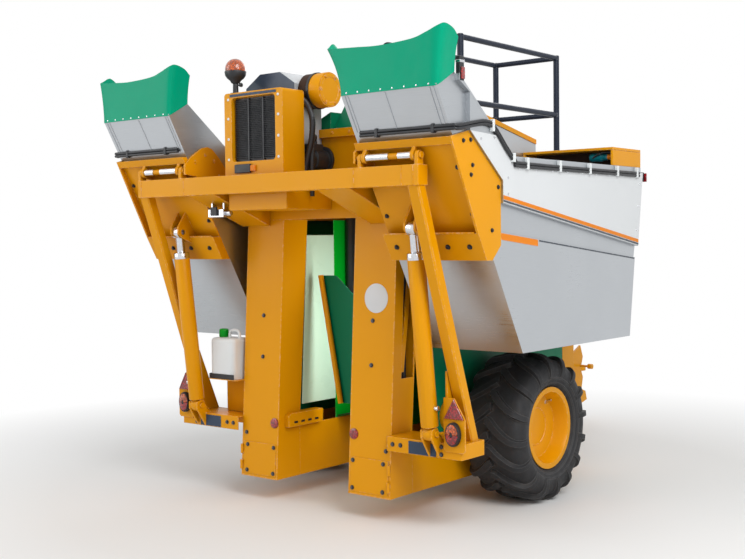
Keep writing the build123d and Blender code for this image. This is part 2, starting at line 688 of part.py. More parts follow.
CHANNEL_LOW_Z = 1964.0
CHANNEL_PROUD = 30.0
LUG_IN_X = EAR_IN_X + 5
LUG_OUT_X = EAR_OUT_X - EAR_T - 5
with BuildPart() as console:
    add(slab(skin(CONSOLE_FOOT_Z, CONSOLE_TOP_Z, 0, SKIN_T), BIN_IN_X, BIN_OUT_X))
    add(slab(skin(CONSOLE_FOOT_Z, CONSOLE_SHELF_Z, 0, CONSOLE_PROUD), BIN_IN_X, BIN_OUT_X))
    add(slab(skin(CHANNEL_LOW_Z, CONSOLE_TOP_Z, 0, CHANNEL_PROUD), BIN_IN_X, BIN_OUT_X))
    add(
        slab(
            (
                (bin_rear(CONSOLE_FOOT_Z) - CONSOLE_PROUD * WALL_LEAN, CONSOLE_FOOT_Z),
                (bin_rear(CONSOLE_SHELF_Z) - CONSOLE_PROUD * WALL_LEAN, CONSOLE_SHELF_Z),
                (bin_rear(CONSOLE_TOP_Z) - CHANNEL_PROUD * WALL_LEAN, CONSOLE_TOP_Z),
                (CONSOLE_PEAK_F, CONSOLE_PEAK_Z),
                (CONSOLE_PLATE_FRONT_F, CONSOLE_BROW_Z),
                (CONSOLE_PLATE_FRONT_F, CONSOLE_CHIN_Z),
                (CONSOLE_HEEL_F, CONSOLE_FOOT_Z),
            ),
            BIN_OUT_X,
            BIN_OUT_X + PLATE,
        )
    )
    for x_lug in (LUG_IN_X, LUG_OUT_X - EAR_T):
        with BuildSketch(SIDE.offset(x_lug)):
            with Locations((HINGE_F, HINGE_Z)):
                Circle(EAR_R)
            with BuildLine():
                Polyline(
                    (HINGE_F - EAR_R * 0.5, HINGE_Z + EAR_R * 0.85),
                    (bin_rear(CONSOLE_TOP_Z), CONSOLE_TOP_Z),
                    (bin_rear(HINGE_Z - 40), HINGE_Z - 40),
                    (HINGE_F, HINGE_Z - EAR_R),
                    close=True,
                )
            make_face()
        extrude(amount=EAR_T)
    add(bar(place(EAR_IN_X - EAR_T - 10, HINGE_F, HINGE_Z), place(EAR_OUT_X + 10, HINGE_F, HINGE_Z), PIN_D))
    for x_ear in (LIFT_X - CLEVIS_GAP / 2 - PLATE, LIFT_X + CLEVIS_GAP / 2):
        with BuildSketch(SIDE.offset(x_ear)):
            with BuildLine():
                Polyline(
                    (LIFT_HEAD_F - LIFT_EYE_R, LIFT_HEAD_Z - 10),
                    (LIFT_HEAD_F - LIFT_EYE_R, LIFT_HEAD_Z + 30),
                    (bin_rear(1700), 1700),
                    (bin_rear(1480), 1480),
                    (LIFT_HEAD_F, LIFT_HEAD_Z - LIFT_EYE_R),
                    close=True,
                )
            make_face()
            with Locations((LIFT_HEAD_F, LIFT_HEAD_Z)):
                Circle(LIFT_PIN_D / 2 + RUN, mode=Mode.SUBTRACT)
        extrude(amount=PLATE)
export_pair(console, "console")

# Rubber lips round the spouts' ends
LIP_REAR_F = SPOUT_F - LIP_T
LIP_WING_F = SPOUT_TIP_F + 20
LIP_FOOT_Z = SPOUT_Z - 10
LIP_IN_X = BIN_IN_X - LIP_T
LIP_OUT_X = BIN_OUT_X + LIP_T
with BuildPart() as lip:
    for inset, mode in ((0, Mode.ADD), (LIP_T, Mode.SUBTRACT)):
        with BuildPart(mode=Mode.PRIVATE) as tub:
            for z, flare in ((LIP_FOOT_Z, 0), (LIP_FOOT_Z + LIP_H + 20, LIP_FLARE)):
                with BuildSketch(PLAN.offset(z)):
                    rear = LIP_REAR_F + inset
                    front = LIP_WING_F + (50 if inset else 0)
                    half = (LIP_OUT_X - LIP_IN_X) / 2 + flare - inset
                    with Locations(((LIP_IN_X + LIP_OUT_X) / 2, (rear + front) / 2)):
                        Rectangle(2 * half, front - rear)
            loft()
        add(tub.part, mode=mode)
export_pair(lip, "lip")

# Front trays on the bins' top edge
TRAY_REAR_F = 195.0
TRAY_H = 106.0
TRAY_T = 16.0
TRAY_OUT_X = BIN_OUT_X + BIN_TOP_PANEL_T
with BuildPart() as tray:
    add(block(BIN_IN_X, TRAY_OUT_X, TRAY_REAR_F, BIN_TOP_FRONT_F - 60, RAIL_Z, RAIL_Z + TRAY_H))
    add(
        block(
            BIN_IN_X + TRAY_T, TRAY_OUT_X - TRAY_T, TRAY_REAR_F, BIN_TOP_FRONT_F - 60 - TRAY_T, RAIL_Z,
            RAIL_Z + TRAY_H,
        ),
        mode=Mode.SUBTRACT,
    )
export_pair(tray, "tray")

# Lift cylinders
LIFT_FOOT = place(LIFT_X, LIFT_FOOT_F, LIFT_FOOT_Z)
LIFT_HEAD = place(LIFT_X, LIFT_HEAD_F, LIFT_HEAD_Z)
LIFT_DIR = (LIFT_HEAD - LIFT_FOOT).normalized()
LIFT_BARREL_END = LIFT_FOOT + LIFT_DIR * LIFT_BARREL_L
ACROSS = Vector(1, 0, 0)
with BuildPart() as lift_barrel:
    add(bar(LIFT_FOOT + LIFT_DIR * LIFT_EYE_R, LIFT_BARREL_END, LIFT_BARREL_D))
    add(bar(LIFT_FOOT - ACROSS * LIFT_EYE_T / 2, LIFT_FOOT + ACROSS * LIFT_EYE_T / 2, 2 * LIFT_EYE_R))
    add(bar(LIFT_FOOT, LIFT_FOOT + LIFT_DIR * 90, LIFT_EYE_T))
    reach = CLEVIS_GAP / 2 + PLATE + 8
    add(bar(LIFT_FOOT - ACROSS * reach, LIFT_FOOT + ACROSS * reach, LIFT_PIN_D))
    add(
        bar(LIFT_FOOT + LIFT_DIR * 120, LIFT_BARREL_END + LIFT_DIR, LIFT_ROD_D + 2 * RUN),
        mode=Mode.SUBTRACT,
    )
export_pair(lift_barrel, "lift_barrel")

with BuildPart() as lift_rod:
    add(bar(LIFT_FOOT + LIFT_DIR * 130, LIFT_HEAD, LIFT_ROD_D))
    add(bar(LIFT_HEAD - ACROSS * LIFT_EYE_T / 2, LIFT_HEAD + ACROSS * LIFT_EYE_T / 2, 2 * LIFT_EYE_R))
    add(
        bar(LIFT_HEAD - ACROSS * LIFT_EYE_T, LIFT_HEAD + ACROSS * LIFT_EYE_T, LIFT_PIN_D + 2 * RUN),
        mode=Mode.SUBTRACT,
    )
export_pair(lift_rod, "lift_rod")

# Oil cooler on the rear beam, with the service box under it
COOLER_LEFT_X = -346.0
COOLER_RIGHT_X = 96.0
COOLER_REAR_F = -1275.0
COOLER_DEPTH = 170.0
COOLER_TOP_Z = 2335.0
GRILLE_SIDE = 55.0
GRILLE_FOOT = 75.0
GRILLE_TOP = 28.0
GRILLE_T = 14.0
with BuildPart() as cooler_housing:
    add(
        block(
            COOLER_LEFT_X, COOLER_RIGHT_X, COOLER_REAR_F, COOLER_REAR_F + COOLER_DEPTH, BEAM_TOP_Z, COOLER_TOP_Z
        )
    )
    fillet(cooler_housing.edges().filter_by(Axis.Y).sort_by(Axis.Z)[-2:], 18)
    with BuildSketch(BACK.offset(-COOLER_REAR_F)):
        with Locations(
            ((COOLER_LEFT_X + COOLER_RIGHT_X) / 2, (BEAM_TOP_Z + GRILLE_FOOT + COOLER_TOP_Z - GRILLE_TOP) / 2)
        ):
            RectangleRounded(
                COOLER_RIGHT_X - COOLER_LEFT_X - 2 * GRILLE_SIDE,
                COOLER_TOP_Z - GRILLE_TOP - BEAM_TOP_Z - GRILLE_FOOT,
                22,
            )
    extrude(amount=-GRILLE_T - 20, mode=Mode.SUBTRACT)
cooler_housing.part.label = "cooler_housing"
export_step(cooler_housing.part, "parts/cooler_housing.step")

with BuildPart() as cooler_grille:
    with BuildSketch(BACK.offset(-COOLER_REAR_F - GRILLE_T - 20)):
        with Locations(
            ((COOLER_LEFT_X + COOLER_RIGHT_X) / 2, (BEAM_TOP_Z + GRILLE_FOOT + COOLER_TOP_Z - GRILLE_TOP) / 2)
        ):
            RectangleRounded(
                COOLER_RIGHT_X - COOLER_LEFT_X - 2 * GRILLE_SIDE - 0.4,
                COOLER_TOP_Z - GRILLE_TOP - BEAM_TOP_Z - GRILLE_FOOT - 0.4,
                21.8,
            )
    extrude(amount=GRILLE_T)
cooler_grille.part.label = "cooler_grille"
export_step(cooler_grille.part, "parts/cooler_grille.step")

SERVICE_LOW_Z = 1690.0
SERVICE_FRONT_F = column_rear(ROOF_LOW_Z)
with BuildPart() as service_box:
    add(
        block(
            COOLER_LEFT_X, COOLER_RIGHT_X, BEAM_REAR_F + BEAM_DEPTH, SERVICE_FRONT_F, SERVICE_LOW_Z, BEAM_TOP_Z
        )
    )
    add(
        block(
            COOLER_LEFT_X + SHEET, COOLER_RIGHT_X - SHEET, BEAM_REAR_F + BEAM_DEPTH + SHEET, SERVICE_FRONT_F - SHEET,
            SERVICE_LOW_Z + SHEET, BEAM_TOP_Z,
        ),
        mode=Mode.SUBTRACT,
    )
service_box.part.label = "service_box"
export_step(service_box.part, "parts/service_box.step")

# Hood, cross conveyor and fan drum on the deck
HOOD_RIGHT_X = 30.0
HOOD_EAVE_Z = 2380.0
HOOD_RIDGE_Z = 2450.0
HOOD_SLOPE_X = 110.0
with BuildPart() as top_hood:
    for inset, mode in ((0, Mode.ADD), (SHEET, Mode.SUBTRACT)):
        add(
            upright(
                (
                    (COOLER_LEFT_X + inset, BEAM_TOP_Z),
                    (COOLER_LEFT_X + inset, HOOD_EAVE_Z - inset),
                    (COOLER_LEFT_X + HOOD_SLOPE_X + inset, HOOD_RIDGE_Z - inset),
                    (HOOD_RIGHT_X - HOOD_SLOPE_X - inset, HOOD_RIDGE_Z - inset),
                    (HOOD_RIGHT_X - inset, HOOD_EAVE_Z - inset),
                    (HOOD_RIGHT_X - inset, BEAM_TOP_Z),
                ),
                COOLER_REAR_F + COOLER_DEPTH + inset,
                SERVICE_FRONT_F - inset,
            ),
            mode=mode,
        )
top_hood.part.label = "top_hood"
export_step(top_hood.part, "parts/top_hood.step")

CONVEYOR_REAR_F = SERVICE_FRONT_F
CONVEYOR_FRONT_F = -560.0
CONVEYOR_TOP_Z = 2100.0
CONVEYOR_HALF_X = 600.0
BELT_Z = 1960.0
BELT_T = 20.0
with BuildPart() as cross_conveyor:
    add(block(-CONVEYOR_HALF_X, CONVEYOR_HALF_X, CONVEYOR_REAR_F, CONVEYOR_FRONT_F, ROOF_TOP_Z, CONVEYOR_TOP_Z))
    add(
        block(
            -CONVEYOR_HALF_X, CONVEYOR_HALF_X, CONVEYOR_REAR_F + SHEET, CONVEYOR_FRONT_F - SHEET, BELT_Z,
            CONVEYOR_TOP_Z,
        ),
        mode=Mode.SUBTRACT,
    )
    add(
        block(
            -CONVEYOR_HALF_X, CONVEYOR_HALF_X, CONVEYOR_REAR_F + SHEET, CONVEYOR_FRONT_F - SHEET,
            ROOF_TOP_Z + SHEET, BELT_Z - BELT_T,
        ),
        mode=Mode.SUBTRACT,
    )
cross_conveyor.part.label = "cross_conveyor"
export_step(cross_conveyor.part, "parts/cross_conveyor.step")

COVER_TOP_Z = 2290.0
COVER_SLOPE_F = 130.0
COVER_END_X = 60.0
with BuildPart() as conveyor_cover:
    for inset, mode in ((0, Mode.ADD), (SHEET, Mode.SUBTRACT)):
        add(
            slab(
                (
                    (CONVEYOR_REAR_F + inset, CONVEYOR_TOP_Z),
                    (CONVEYOR_REAR_F + COVER_SLOPE_F + inset, COVER_TOP_Z - inset),
                    (CONVEYOR_FRONT_F - inset, COVER_TOP_Z - inset),
                    (CONVEYOR_FRONT_F - inset, CONVEYOR_TOP_Z),
                ),
                COOLER_RIGHT_X + inset,
                CONVEYOR_HALF_X - COVER_END_X - inset,
            ),
            mode=mode,
        )
conveyor_cover.part.label = "conveyor_cover"
export_step(conveyor_cover.part, "parts/conveyor_cover.step")

DRUM_R = 95.0
DRUM_Z = 2340.0
DRUM_F = -985.0
DRUM_L = 150.0
with BuildPart() as fan_drum:
    add(bar(place(HOOD_RIGHT_X, DRUM_F, DRUM_Z), place(HOOD_RIGHT_X + DRUM_L, DRUM_F, DRUM_Z), 2 * DRUM_R))
fan_drum.part.label = "fan_drum"
export_step(fan_drum.part, "parts/fan_drum.step")

# Beacon on the cooler's left corner
BEACON_X = COOLER_LEFT_X + 30
BEACON_F = COOLER_REAR_F + 60
BEACON_BASE_H = 110.0
BEACON_DOME_H = 95.0
BEACON_R = 62.0
with BuildPart() as beacon_base:
    with BuildSketch(PLAN.offset(COOLER_TOP_Z)):
        with Locations((BEACON_X, BEACON_F)):
            Circle(22)
    with BuildSketch(PLAN.offset(COOLER_TOP_Z + BEACON_BASE_H)):
        with Locations((BEACON_X, BEACON_F)):
            Circle(BEACON_R)
    loft()
beacon_base.part.label = "beacon_base"
export_step(beacon_base.part, "parts/beacon_base.step")

with BuildPart() as beacon_dome:
    with BuildSketch(PLAN.offset(COOLER_TOP_Z + BEACON_BASE_H)):
        with Locations((BEACON_X, BEACON_F)):
            Circle(BEACON_R - 4)
    extrude(amount=BEACON_DOME_H)
    fillet(beacon_dome.faces().sort_by(Axis.Z)[-1].edges(), 34)
beacon_dome.part.label = "beacon_dome"
export_step(beacon_dome.part, "parts/beacon_dome.step")

# Guard rail round the platform, with the work lamp
GUARD_HALF_X = 250.0
GUARD_REAR_F = 170.0
GUARD_FRONT_F = 1350.0
GUARD_TOP_Z = 2770.0
GUARD_GAP = 290.0
GUARD_MID_Z = GUARD_TOP_Z - GUARD_GAP
GUARD_D = 38.0
GUARD_CORNERS = ((GUARD_HALF_X, GUARD_REAR_F), (GUARD_HALF_X, GUARD_FRONT_F))
with BuildPart() as guard_rail:
    for x, f in GUARD_CORNERS:
        add(bar(place(x, f, ROOF_TOP_Z), place(x, f, GUARD_TOP_Z), GUARD_D))
    for z in (GUARD_MID_Z, GUARD_TOP_Z):
        add(bar(place(GUARD_HALF_X, GUARD_REAR_F, z), place(GUARD_HALF_X, GUARD_FRONT_F, z), GUARD_D))
    mirror(about=Plane.YZ)
    for z in (GUARD_MID_Z, GUARD_TOP_Z):
        add(bar(place(-GUARD_HALF_X, GUARD_FRONT_F, z), place(GUARD_HALF_X, GUARD_FRONT_F, z), GUARD_D))
guard_rail.part.label = "guard_rail"
export_step(guard_rail.part, "parts/guard_rail.step")

WORK_LAMP_R = 60.0
with BuildPart() as work_lamp:
    lamp_f = GUARD_REAR_F - GUARD_D / 2
    add(
        bar(
            place(-GUARD_HALF_X, lamp_f, GUARD_TOP_Z - 30), place(-GUARD_HALF_X, lamp_f - 70, GUARD_TOP_Z - 30),
            2 * WORK_LAMP_R,
        )
    )
work_lamp.part.label = "work_lamp"
export_step(work_lamp.part, "parts/work_lamp.step")

# Oil tank on the deck
TANK_HALF_X = 460.0
TANK_REAR_F = 240.0
TANK_FRONT_F = 960.0
TANK_TOP_Z = 1985.0
with BuildPart() as oil_tank:
    add(block(-TANK_HALF_X, TANK_HALF_X, TANK_REAR_F, TANK_FRONT_F, ROOF_TOP_Z, TANK_TOP_Z))
    fillet(oil_tank.edges().filter_by(Axis.Z), 30)
oil_tank.part.label = "oil_tank"
export_step(oil_tank.part, "parts/oil_tank.step")

# Water can on its shelf beside the left column
CAN_OUT_X = -800.0
CAN_IN_X = -590.0
CAN_REAR_F = -1010.0
CAN_DEPTH = 160.0
SHELF_Z = 690.0
CAN_H = 245.0
with BuildPart() as can_shelf:
    add(block(CAN_OUT_X, -BOX_OUT_X, CAN_REAR_F, CAN_REAR_F + CAN_DEPTH, SHELF_Z, SHELF_Z + SHEET))
    add(block(CAN_OUT_X, -BOX_OUT_X, CAN_REAR_F + CAN_DEPTH - SHEET, CAN_REAR_F + CAN_DEPTH, BRACKET_TOP_Z, SHELF_Z))
can_shelf.part.label = "can_shelf"
export_step(can_shelf.part, "parts/can_shelf.step")

with BuildPart() as water_can:
    add(
        block(
            CAN_OUT_X + 8, CAN_IN_X, CAN_REAR_F + 8, CAN_REAR_F + CAN_DEPTH - 8, SHELF_Z + SHEET,
            SHELF_Z + SHEET + CAN_H,
        )
    )
    fillet(water_can.edges().filter_by(Axis.Z), 28)
    fillet(water_can.faces().sort_by(Axis.Z)[-1].edges(), 22)
water_can.part.label = "water_can"
export_step(water_can.part, "parts/water_can.step")

# Drawbar bracket on the left conveyor box
DRAWBAR_TOP_Z = DRAWBAR_LOW_Z + DRAWBAR_W
FORK_T = 25.0
with BuildPart() as drawbar_bracket:
    for z in (DRAWBAR_LOW_Z - RUN - FORK_T, DRAWBAR_TOP_Z + RUN):
        add(
            block(
                DRAWBAR_X - 90, DRAWBAR_X + 90, BOX_FRONT_F + PLATE, DRAWBAR_PIVOT_F + 55, z, z + FORK_T
            )
        )
    add(
        block(
            DRAWBAR_X - 110, DRAWBAR_X + 110, BOX_FRONT_F, BOX_FRONT_F + PLATE, BOX_FOOT_Z + 60,
            DRAWBAR_TOP_Z + RUN + FORK_T,
        )
    )
    add(
        bar(
            place(DRAWBAR_X, DRAWBAR_PIVOT_F, DRAWBAR_LOW_Z - 60),
            place(DRAWBAR_X, DRAWBAR_PIVOT_F, DRAWBAR_TOP_Z + 60),
            DRAWBAR_PIN_D,
        )
    )
    add(
        block(
            DRAWBAR_X + 110, STEER_FOOT_X + 60, BOX_FRONT_F, BOX_FRONT_F + PLATE, DRAWBAR_LOW_Z - 20,
            DRAWBAR_TOP_Z + 20,
        )
    )
    for z in (STEER_EYE_T / 2 + RUN, -STEER_EYE_T / 2 - RUN - PLATE):
        with BuildSketch(PLAN.offset((DRAWBAR_LOW_Z + DRAWBAR_TOP_Z) / 2 + z)):
            with Locations((STEER_FOOT_X, STEER_FOOT_F)):
                Circle(STEER_EYE_R)
            with Locations((STEER_FOOT_X, (BOX_FRONT_F + PLATE + STEER_FOOT_F) / 2)):
                Rectangle(2 * STEER_EYE_R, STEER_FOOT_F - BOX_FRONT_F - PLATE)
        extrude(amount=PLATE)
drawbar_bracket.part.label = "drawbar_bracket"
export_step(drawbar_bracket.part, "parts/drawbar_bracket.step")

# Drawbar with its tow eye
DRAWBAR_MID_Z = (DRAWBAR_LOW_Z + DRAWBAR_TOP_Z) / 2
EYE_F = FRONT_REACH - EYE_R
with BuildPart() as drawbar:
    with BuildSketch(PLAN.offset(DRAWBAR_LOW_Z)):
        with Locations((DRAWBAR_X, (DRAWBAR_PIVOT_F + DRAWBAR_BEAM_END_F) / 2)):
            Rectangle(DRAWBAR_W, DRAWBAR_BEAM_END_F - DRAWBAR_PIVOT_F)
        with Locations((DRAWBAR_X, DRAWBAR_PIVOT_F)):
            Circle(DRAWBAR_W / 2)
            Circle(DRAWBAR_PIN_D / 2 + RUN, mode=Mode.SUBTRACT)
    extrude(amount=DRAWBAR_W)
    with BuildSketch(PLAN.offset(DRAWBAR_MID_Z - EYE_T / 2)):
        with Locations((DRAWBAR_X, (DRAWBAR_BEAM_END_F + EYE_F) / 2)):
            Rectangle(DRAWBAR_W * 0.7, EYE_F - DRAWBAR_BEAM_END_F)
        with Locations((DRAWBAR_X, EYE_F)):
            Circle(EYE_R)
            Circle(EYE_BORE_R, mode=Mode.SUBTRACT)
    extrude(amount=EYE_T)
    for z in (STEER_EYE_T / 2 + RUN, -STEER_EYE_T / 2 - RUN - PLATE):
        with BuildSketch(PLAN.offset(DRAWBAR_MID_Z + z)):
            with Locations((STEER_HEAD_X, STEER_HEAD_F)):
                Circle(STEER_EYE_R)
            with Locations(((DRAWBAR_X + DRAWBAR_W / 2 + STEER_HEAD_X) / 2, STEER_HEAD_F)):
                Rectangle(STEER_HEAD_X - DRAWBAR_X - DRAWBAR_W / 2, 2 * STEER_EYE_R)
        extrude(amount=PLATE)
drawbar.part.label = "drawbar"
export_step(drawbar.part, "parts/drawbar.step")

# Drive gearbox on the drawbar with its input shaft
GEARBOX_REAR_F = 1900.0
GEARBOX_L = 380.0
GEARBOX_H = 260.0
GEARBOX_W = 240.0
SHAFT_D = 35.0
SHAFT_L = 90.0
GEARBOX_MID_Z = DRAWBAR_TOP_Z + GEARBOX_H / 2
with BuildPart() as drive_gearbox:
    add(
        block(
            DRAWBAR_X - GEARBOX_W / 2, DRAWBAR_X + GEARBOX_W / 2, GEARBOX_REAR_F, GEARBOX_REAR_F + GEARBOX_L,
            DRAWBAR_TOP_Z, DRAWBAR_TOP_Z + GEARBOX_H,
        )
    )
    fillet(drive_gearbox.edges().filter_by(Axis.Y), 40)
    add(
        bar(
            place(DRAWBAR_X, GEARBOX_REAR_F + GEARBOX_L, GEARBOX_MID_Z),
            place(DRAWBAR_X, GEARBOX_REAR_F + GEARBOX_L + SHAFT_L, GEARBOX_MID_Z),
            SHAFT_D,
        )
    )
drive_gearbox.part.label = "drive_gearbox"
export_step(drive_gearbox.part, "parts/drive_gearbox.step")

# Parking jack on the drawbar's left side
JACK_X = DRAWBAR_X - DRAWBAR_W / 2 - JACK_TUBE_D / 2 - 10
JACK_TUBE_LOW_Z = 310.0
JACK_TUBE_TOP_Z = 860.0
JACK_FOOT_R = 90.0
JACK_FOOT_T = 15.0
with BuildPart() as jack_tube:
    add(
        bar(
            place(JACK_X, JACK_F, JACK_TUBE_LOW_Z), place(JACK_X, JACK_F, JACK_TUBE_TOP_Z), JACK_TUBE_D,
            JACK_LEG_D + 2 * RUN,
        )
    )
    add(bar(place(JACK_X, JACK_F, JACK_TUBE_TOP_Z), place(JACK_X, JACK_F, JACK_TUBE_TOP_Z + 12), JACK_TUBE_D))
    add(
        block(
            JACK_X + JACK_TUBE_D / 2 - 3, DRAWBAR_X - DRAWBAR_W / 2, JACK_F - 70, JACK_F + 70, DRAWBAR_LOW_Z,
            DRAWBAR_TOP_Z,
        )
    )
jack_tube.part.label = "jack_tube"
export_step(jack_tube.part, "parts/jack_tube.step")

with BuildPart() as jack_leg:
    add(bar(place(JACK_X, JACK_F, 0), place(JACK_X, JACK_F, JACK_FOOT_T), 2 * JACK_FOOT_R))
    add(bar(place(JACK_X, JACK_F, JACK_FOOT_T), place(JACK_X, JACK_F, 560), JACK_LEG_D))
jack_leg.part.label = "jack_leg"
export_step(jack_leg.part, "parts/jack_leg.step")

# Steering cylinder between the bracket and the drawbar
STEER_FOOT = place(STEER_FOOT_X, STEER_FOOT_F, DRAWBAR_MID_Z)
STEER_HEAD = place(STEER_HEAD_X, STEER_HEAD_F, DRAWBAR_MID_Z)
STEER_DIR = (STEER_HEAD - STEER_FOOT).normalized()
UP = Vector(0, 0, 1)
with BuildPart() as steer_barrel:
    add(bar(STEER_FOOT + STEER_DIR * 45, STEER_FOOT + STEER_DIR * STEER_BARREL_L, STEER_BARREL_D))
    add(bar(STEER_FOOT - UP * STEER_EYE_T / 2, STEER_FOOT + UP * STEER_EYE_T / 2, 2 * STEER_EYE_R))
    add(bar(STEER_FOOT, STEER_FOOT + STEER_DIR * 60, STEER_EYE_T))
    add(
        bar(
            STEER_FOOT + STEER_DIR * 70, STEER_FOOT + STEER_DIR * (STEER_BARREL_L + 1), STEER_ROD_D + 2 * RUN
        ),
        mode=Mode.SUBTRACT,
    )
steer_barrel.part.label = "steer_barrel"
export_step(steer_barrel.part, "parts/steer_barrel.step")

with BuildPart() as steer_rod:
    add(bar(STEER_FOOT + STEER_DIR * 195, STEER_HEAD, STEER_ROD_D))
    add(bar(STEER_HEAD - UP * STEER_EYE_T / 2, STEER_HEAD + UP * STEER_EYE_T / 2, 2 * STEER_EYE_R))
steer_rod.part.label = "steer_rod"
export_step(steer_rod.part, "parts/steer_rod.step")

# Hose rack at the front right, with its lever
RACK_X = 500.0
with BuildPart() as hose_rack:
    add(
        slab(
            (
                (BOX_FRONT_F, 440),
                (1200, 380),
                (1290, 400),
                (1270, 460),
                (1215, 480),
                (1235, 560),
                (1205, 620),
                (1235, 700),
                (1200, 780),
                (BOX_FRONT_F, 700),
            ),
            RACK_X,
            RACK_X + PLATE,
        )
    )
    add(bar(place(RACK_X + PLATE, 1200, 640), place(RACK_X + PLATE + 60, 1200, 640), 14))
    add(bar(place(RACK_X + PLATE + 60, 1200, 640), place(RACK_X + PLATE + 90, 1200, 640), 34))
hose_rack.part.label = "hose_rack"
export_step(hose_rack.part, "parts/hose_rack.step")
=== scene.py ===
import json
from math import cos, pi, radians, sin, tau

import bmesh
import bpy
from bpy.props import FloatProperty, FloatVectorProperty, IntProperty, PointerProperty
from mathutils import Matrix, Vector


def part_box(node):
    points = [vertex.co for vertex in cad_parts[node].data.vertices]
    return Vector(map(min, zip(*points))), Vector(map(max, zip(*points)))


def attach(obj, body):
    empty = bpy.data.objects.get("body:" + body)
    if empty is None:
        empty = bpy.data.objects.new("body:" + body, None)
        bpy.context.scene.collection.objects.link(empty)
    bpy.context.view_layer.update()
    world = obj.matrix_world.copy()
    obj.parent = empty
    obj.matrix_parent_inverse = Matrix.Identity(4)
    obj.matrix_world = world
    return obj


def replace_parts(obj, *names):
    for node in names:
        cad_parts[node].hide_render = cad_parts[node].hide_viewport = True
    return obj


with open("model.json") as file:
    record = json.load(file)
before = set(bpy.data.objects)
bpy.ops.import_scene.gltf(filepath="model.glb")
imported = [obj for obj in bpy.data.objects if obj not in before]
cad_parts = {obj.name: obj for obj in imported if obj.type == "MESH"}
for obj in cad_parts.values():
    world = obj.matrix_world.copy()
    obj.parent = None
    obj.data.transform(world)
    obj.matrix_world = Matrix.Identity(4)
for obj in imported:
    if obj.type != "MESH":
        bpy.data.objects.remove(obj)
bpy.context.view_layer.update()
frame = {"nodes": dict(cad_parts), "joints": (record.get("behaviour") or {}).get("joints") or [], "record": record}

bl_info = {
    "name": "Grape Harvester",
    "version": (1, 0, 0),
    "blender": (4, 5, 0),
    "location": "View3D > Sidebar > Harvester",
    "description": "Dresses a towed grape harvester with its finishes and small pieces",
    "category": "Object",
}

JOINTS = {joint["name"]: joint for joint in frame["joints"]}
AXLE = Vector(JOINTS["wheel_right_spin"]["pos_m"])
HINGE = Vector(JOINTS["bin_right_tip"]["pos_m"])
HANDS = ("right", "left")
# Forward and height of the bins' rear foot, the spout's foot and the columns' rear foot
BIN_FOOT = (-0.705, 0.930)
SPOUT = (-1.430, 2.235)
COLUMN_FOOT = (-0.978, 0.133)
COLUMN_LEAN = 0.06
BIN_SIDE = 1.2358
CLIP_SIDE = 1.2538
DECK = 1.760


def at(x, forward, z):
    """Point across, forward of the axle and up, in metres."""
    return Vector((x, AXLE.y + forward, z))


def display(red, green, blue):
    """Linear colour from display values of 0 to 255."""
    shares = [value / 255 for value in (red, green, blue)]
    return tuple(s / 12.92 if s < 0.04045 else ((s + 0.055) / 1.055) ** 2.4 for s in shares)


def tint(label, note, red, green, blue):
    """Colour property with its default as display values."""
    return FloatVectorProperty(
        name=label, description=note, subtype="COLOR", size=3, min=0, max=1,
        default=display(red, green, blue)
    )


class HarvesterColours(bpy.types.PropertyGroup):
    """Colours of the machine's finishes."""

    paint: tint("Machine paint", "Yellow-orange enamel of frame and brackets", 226, 153, 0)
    panel: tint("Bin panel", "Painted upper side panel of the bins", 216, 219, 221)
    steel: tint("Bin steel", "Rolled stainless sheet of the bins", 192, 196, 200)
    stripe: tint("Stripe", "Orange stripe under the bin panel", 226, 128, 8)
    stripe_shadow: tint("Second stripe", "Grey stripe under the orange one", 74, 80, 88)
    lip: tint("Spout lip", "Green sheet round the spouts", 0, 158, 120)
    sheet: tint("Green sheet", "Dark green flap and cover", 0, 116, 80)
    liner: tint("Tunnel liner", "Bright green liner", 0, 158, 34)
    tyre: tint("Tyre", "Charcoal rubber", 40, 40, 42)
    rail: tint("Rail", "Blue-black guard rail and housings", 34, 42, 58)
    hood: tint("Hood", "Light grey hood sides", 186, 190, 194)
    slate: tint("Hood top", "Dark slate hood top", 58, 72, 92)
    black: tint("Black plastic", "Conduit, grille and stems", 30, 32, 36)
    amber: tint("Amber lens", "Beacon and indicator lens", 222, 92, 0)
    red: tint("Red lens", "Tail lamp and reflector", 176, 14, 22)
    guide: tint("Tunnel guide", "Pale sheet of the tunnel's guides", 196, 224, 200)
    teal: tint("Teal", "Auger motors and fittings", 0, 112, 122)
    # Painted shade: dark brown standing for the shaded inside of the auger covers and the shaded end of the fan
    # drum
    inside_shade: tint("Cover inside", "Shaded inside of the auger covers", 60, 40, 28)
    can: tint("Water can", "Milky plastic", 226, 230, 231)
    cast: tint("Cast iron", "Gearbox and fittings", 92, 94, 98)
    chrome: tint("Chrome", "Cylinder rods and small bright pieces", 214, 216, 220)


class HarvesterSizes(bpy.types.PropertyGroup):
    """Sizes of the added pieces."""

    edge: FloatProperty(
        name="Edge rounding", description="Rounding of folded edges", default=0.004, unit="LENGTH", min=0
    )
    lugs: IntProperty(
        name="Lugs", description="Tread bars on each side of a tyre", default=16, min=8, max=40,
    )
    slats: IntProperty(
        name="Grille slats", description="Slats of the cooler grille", default=33, min=5, max=60,
    )


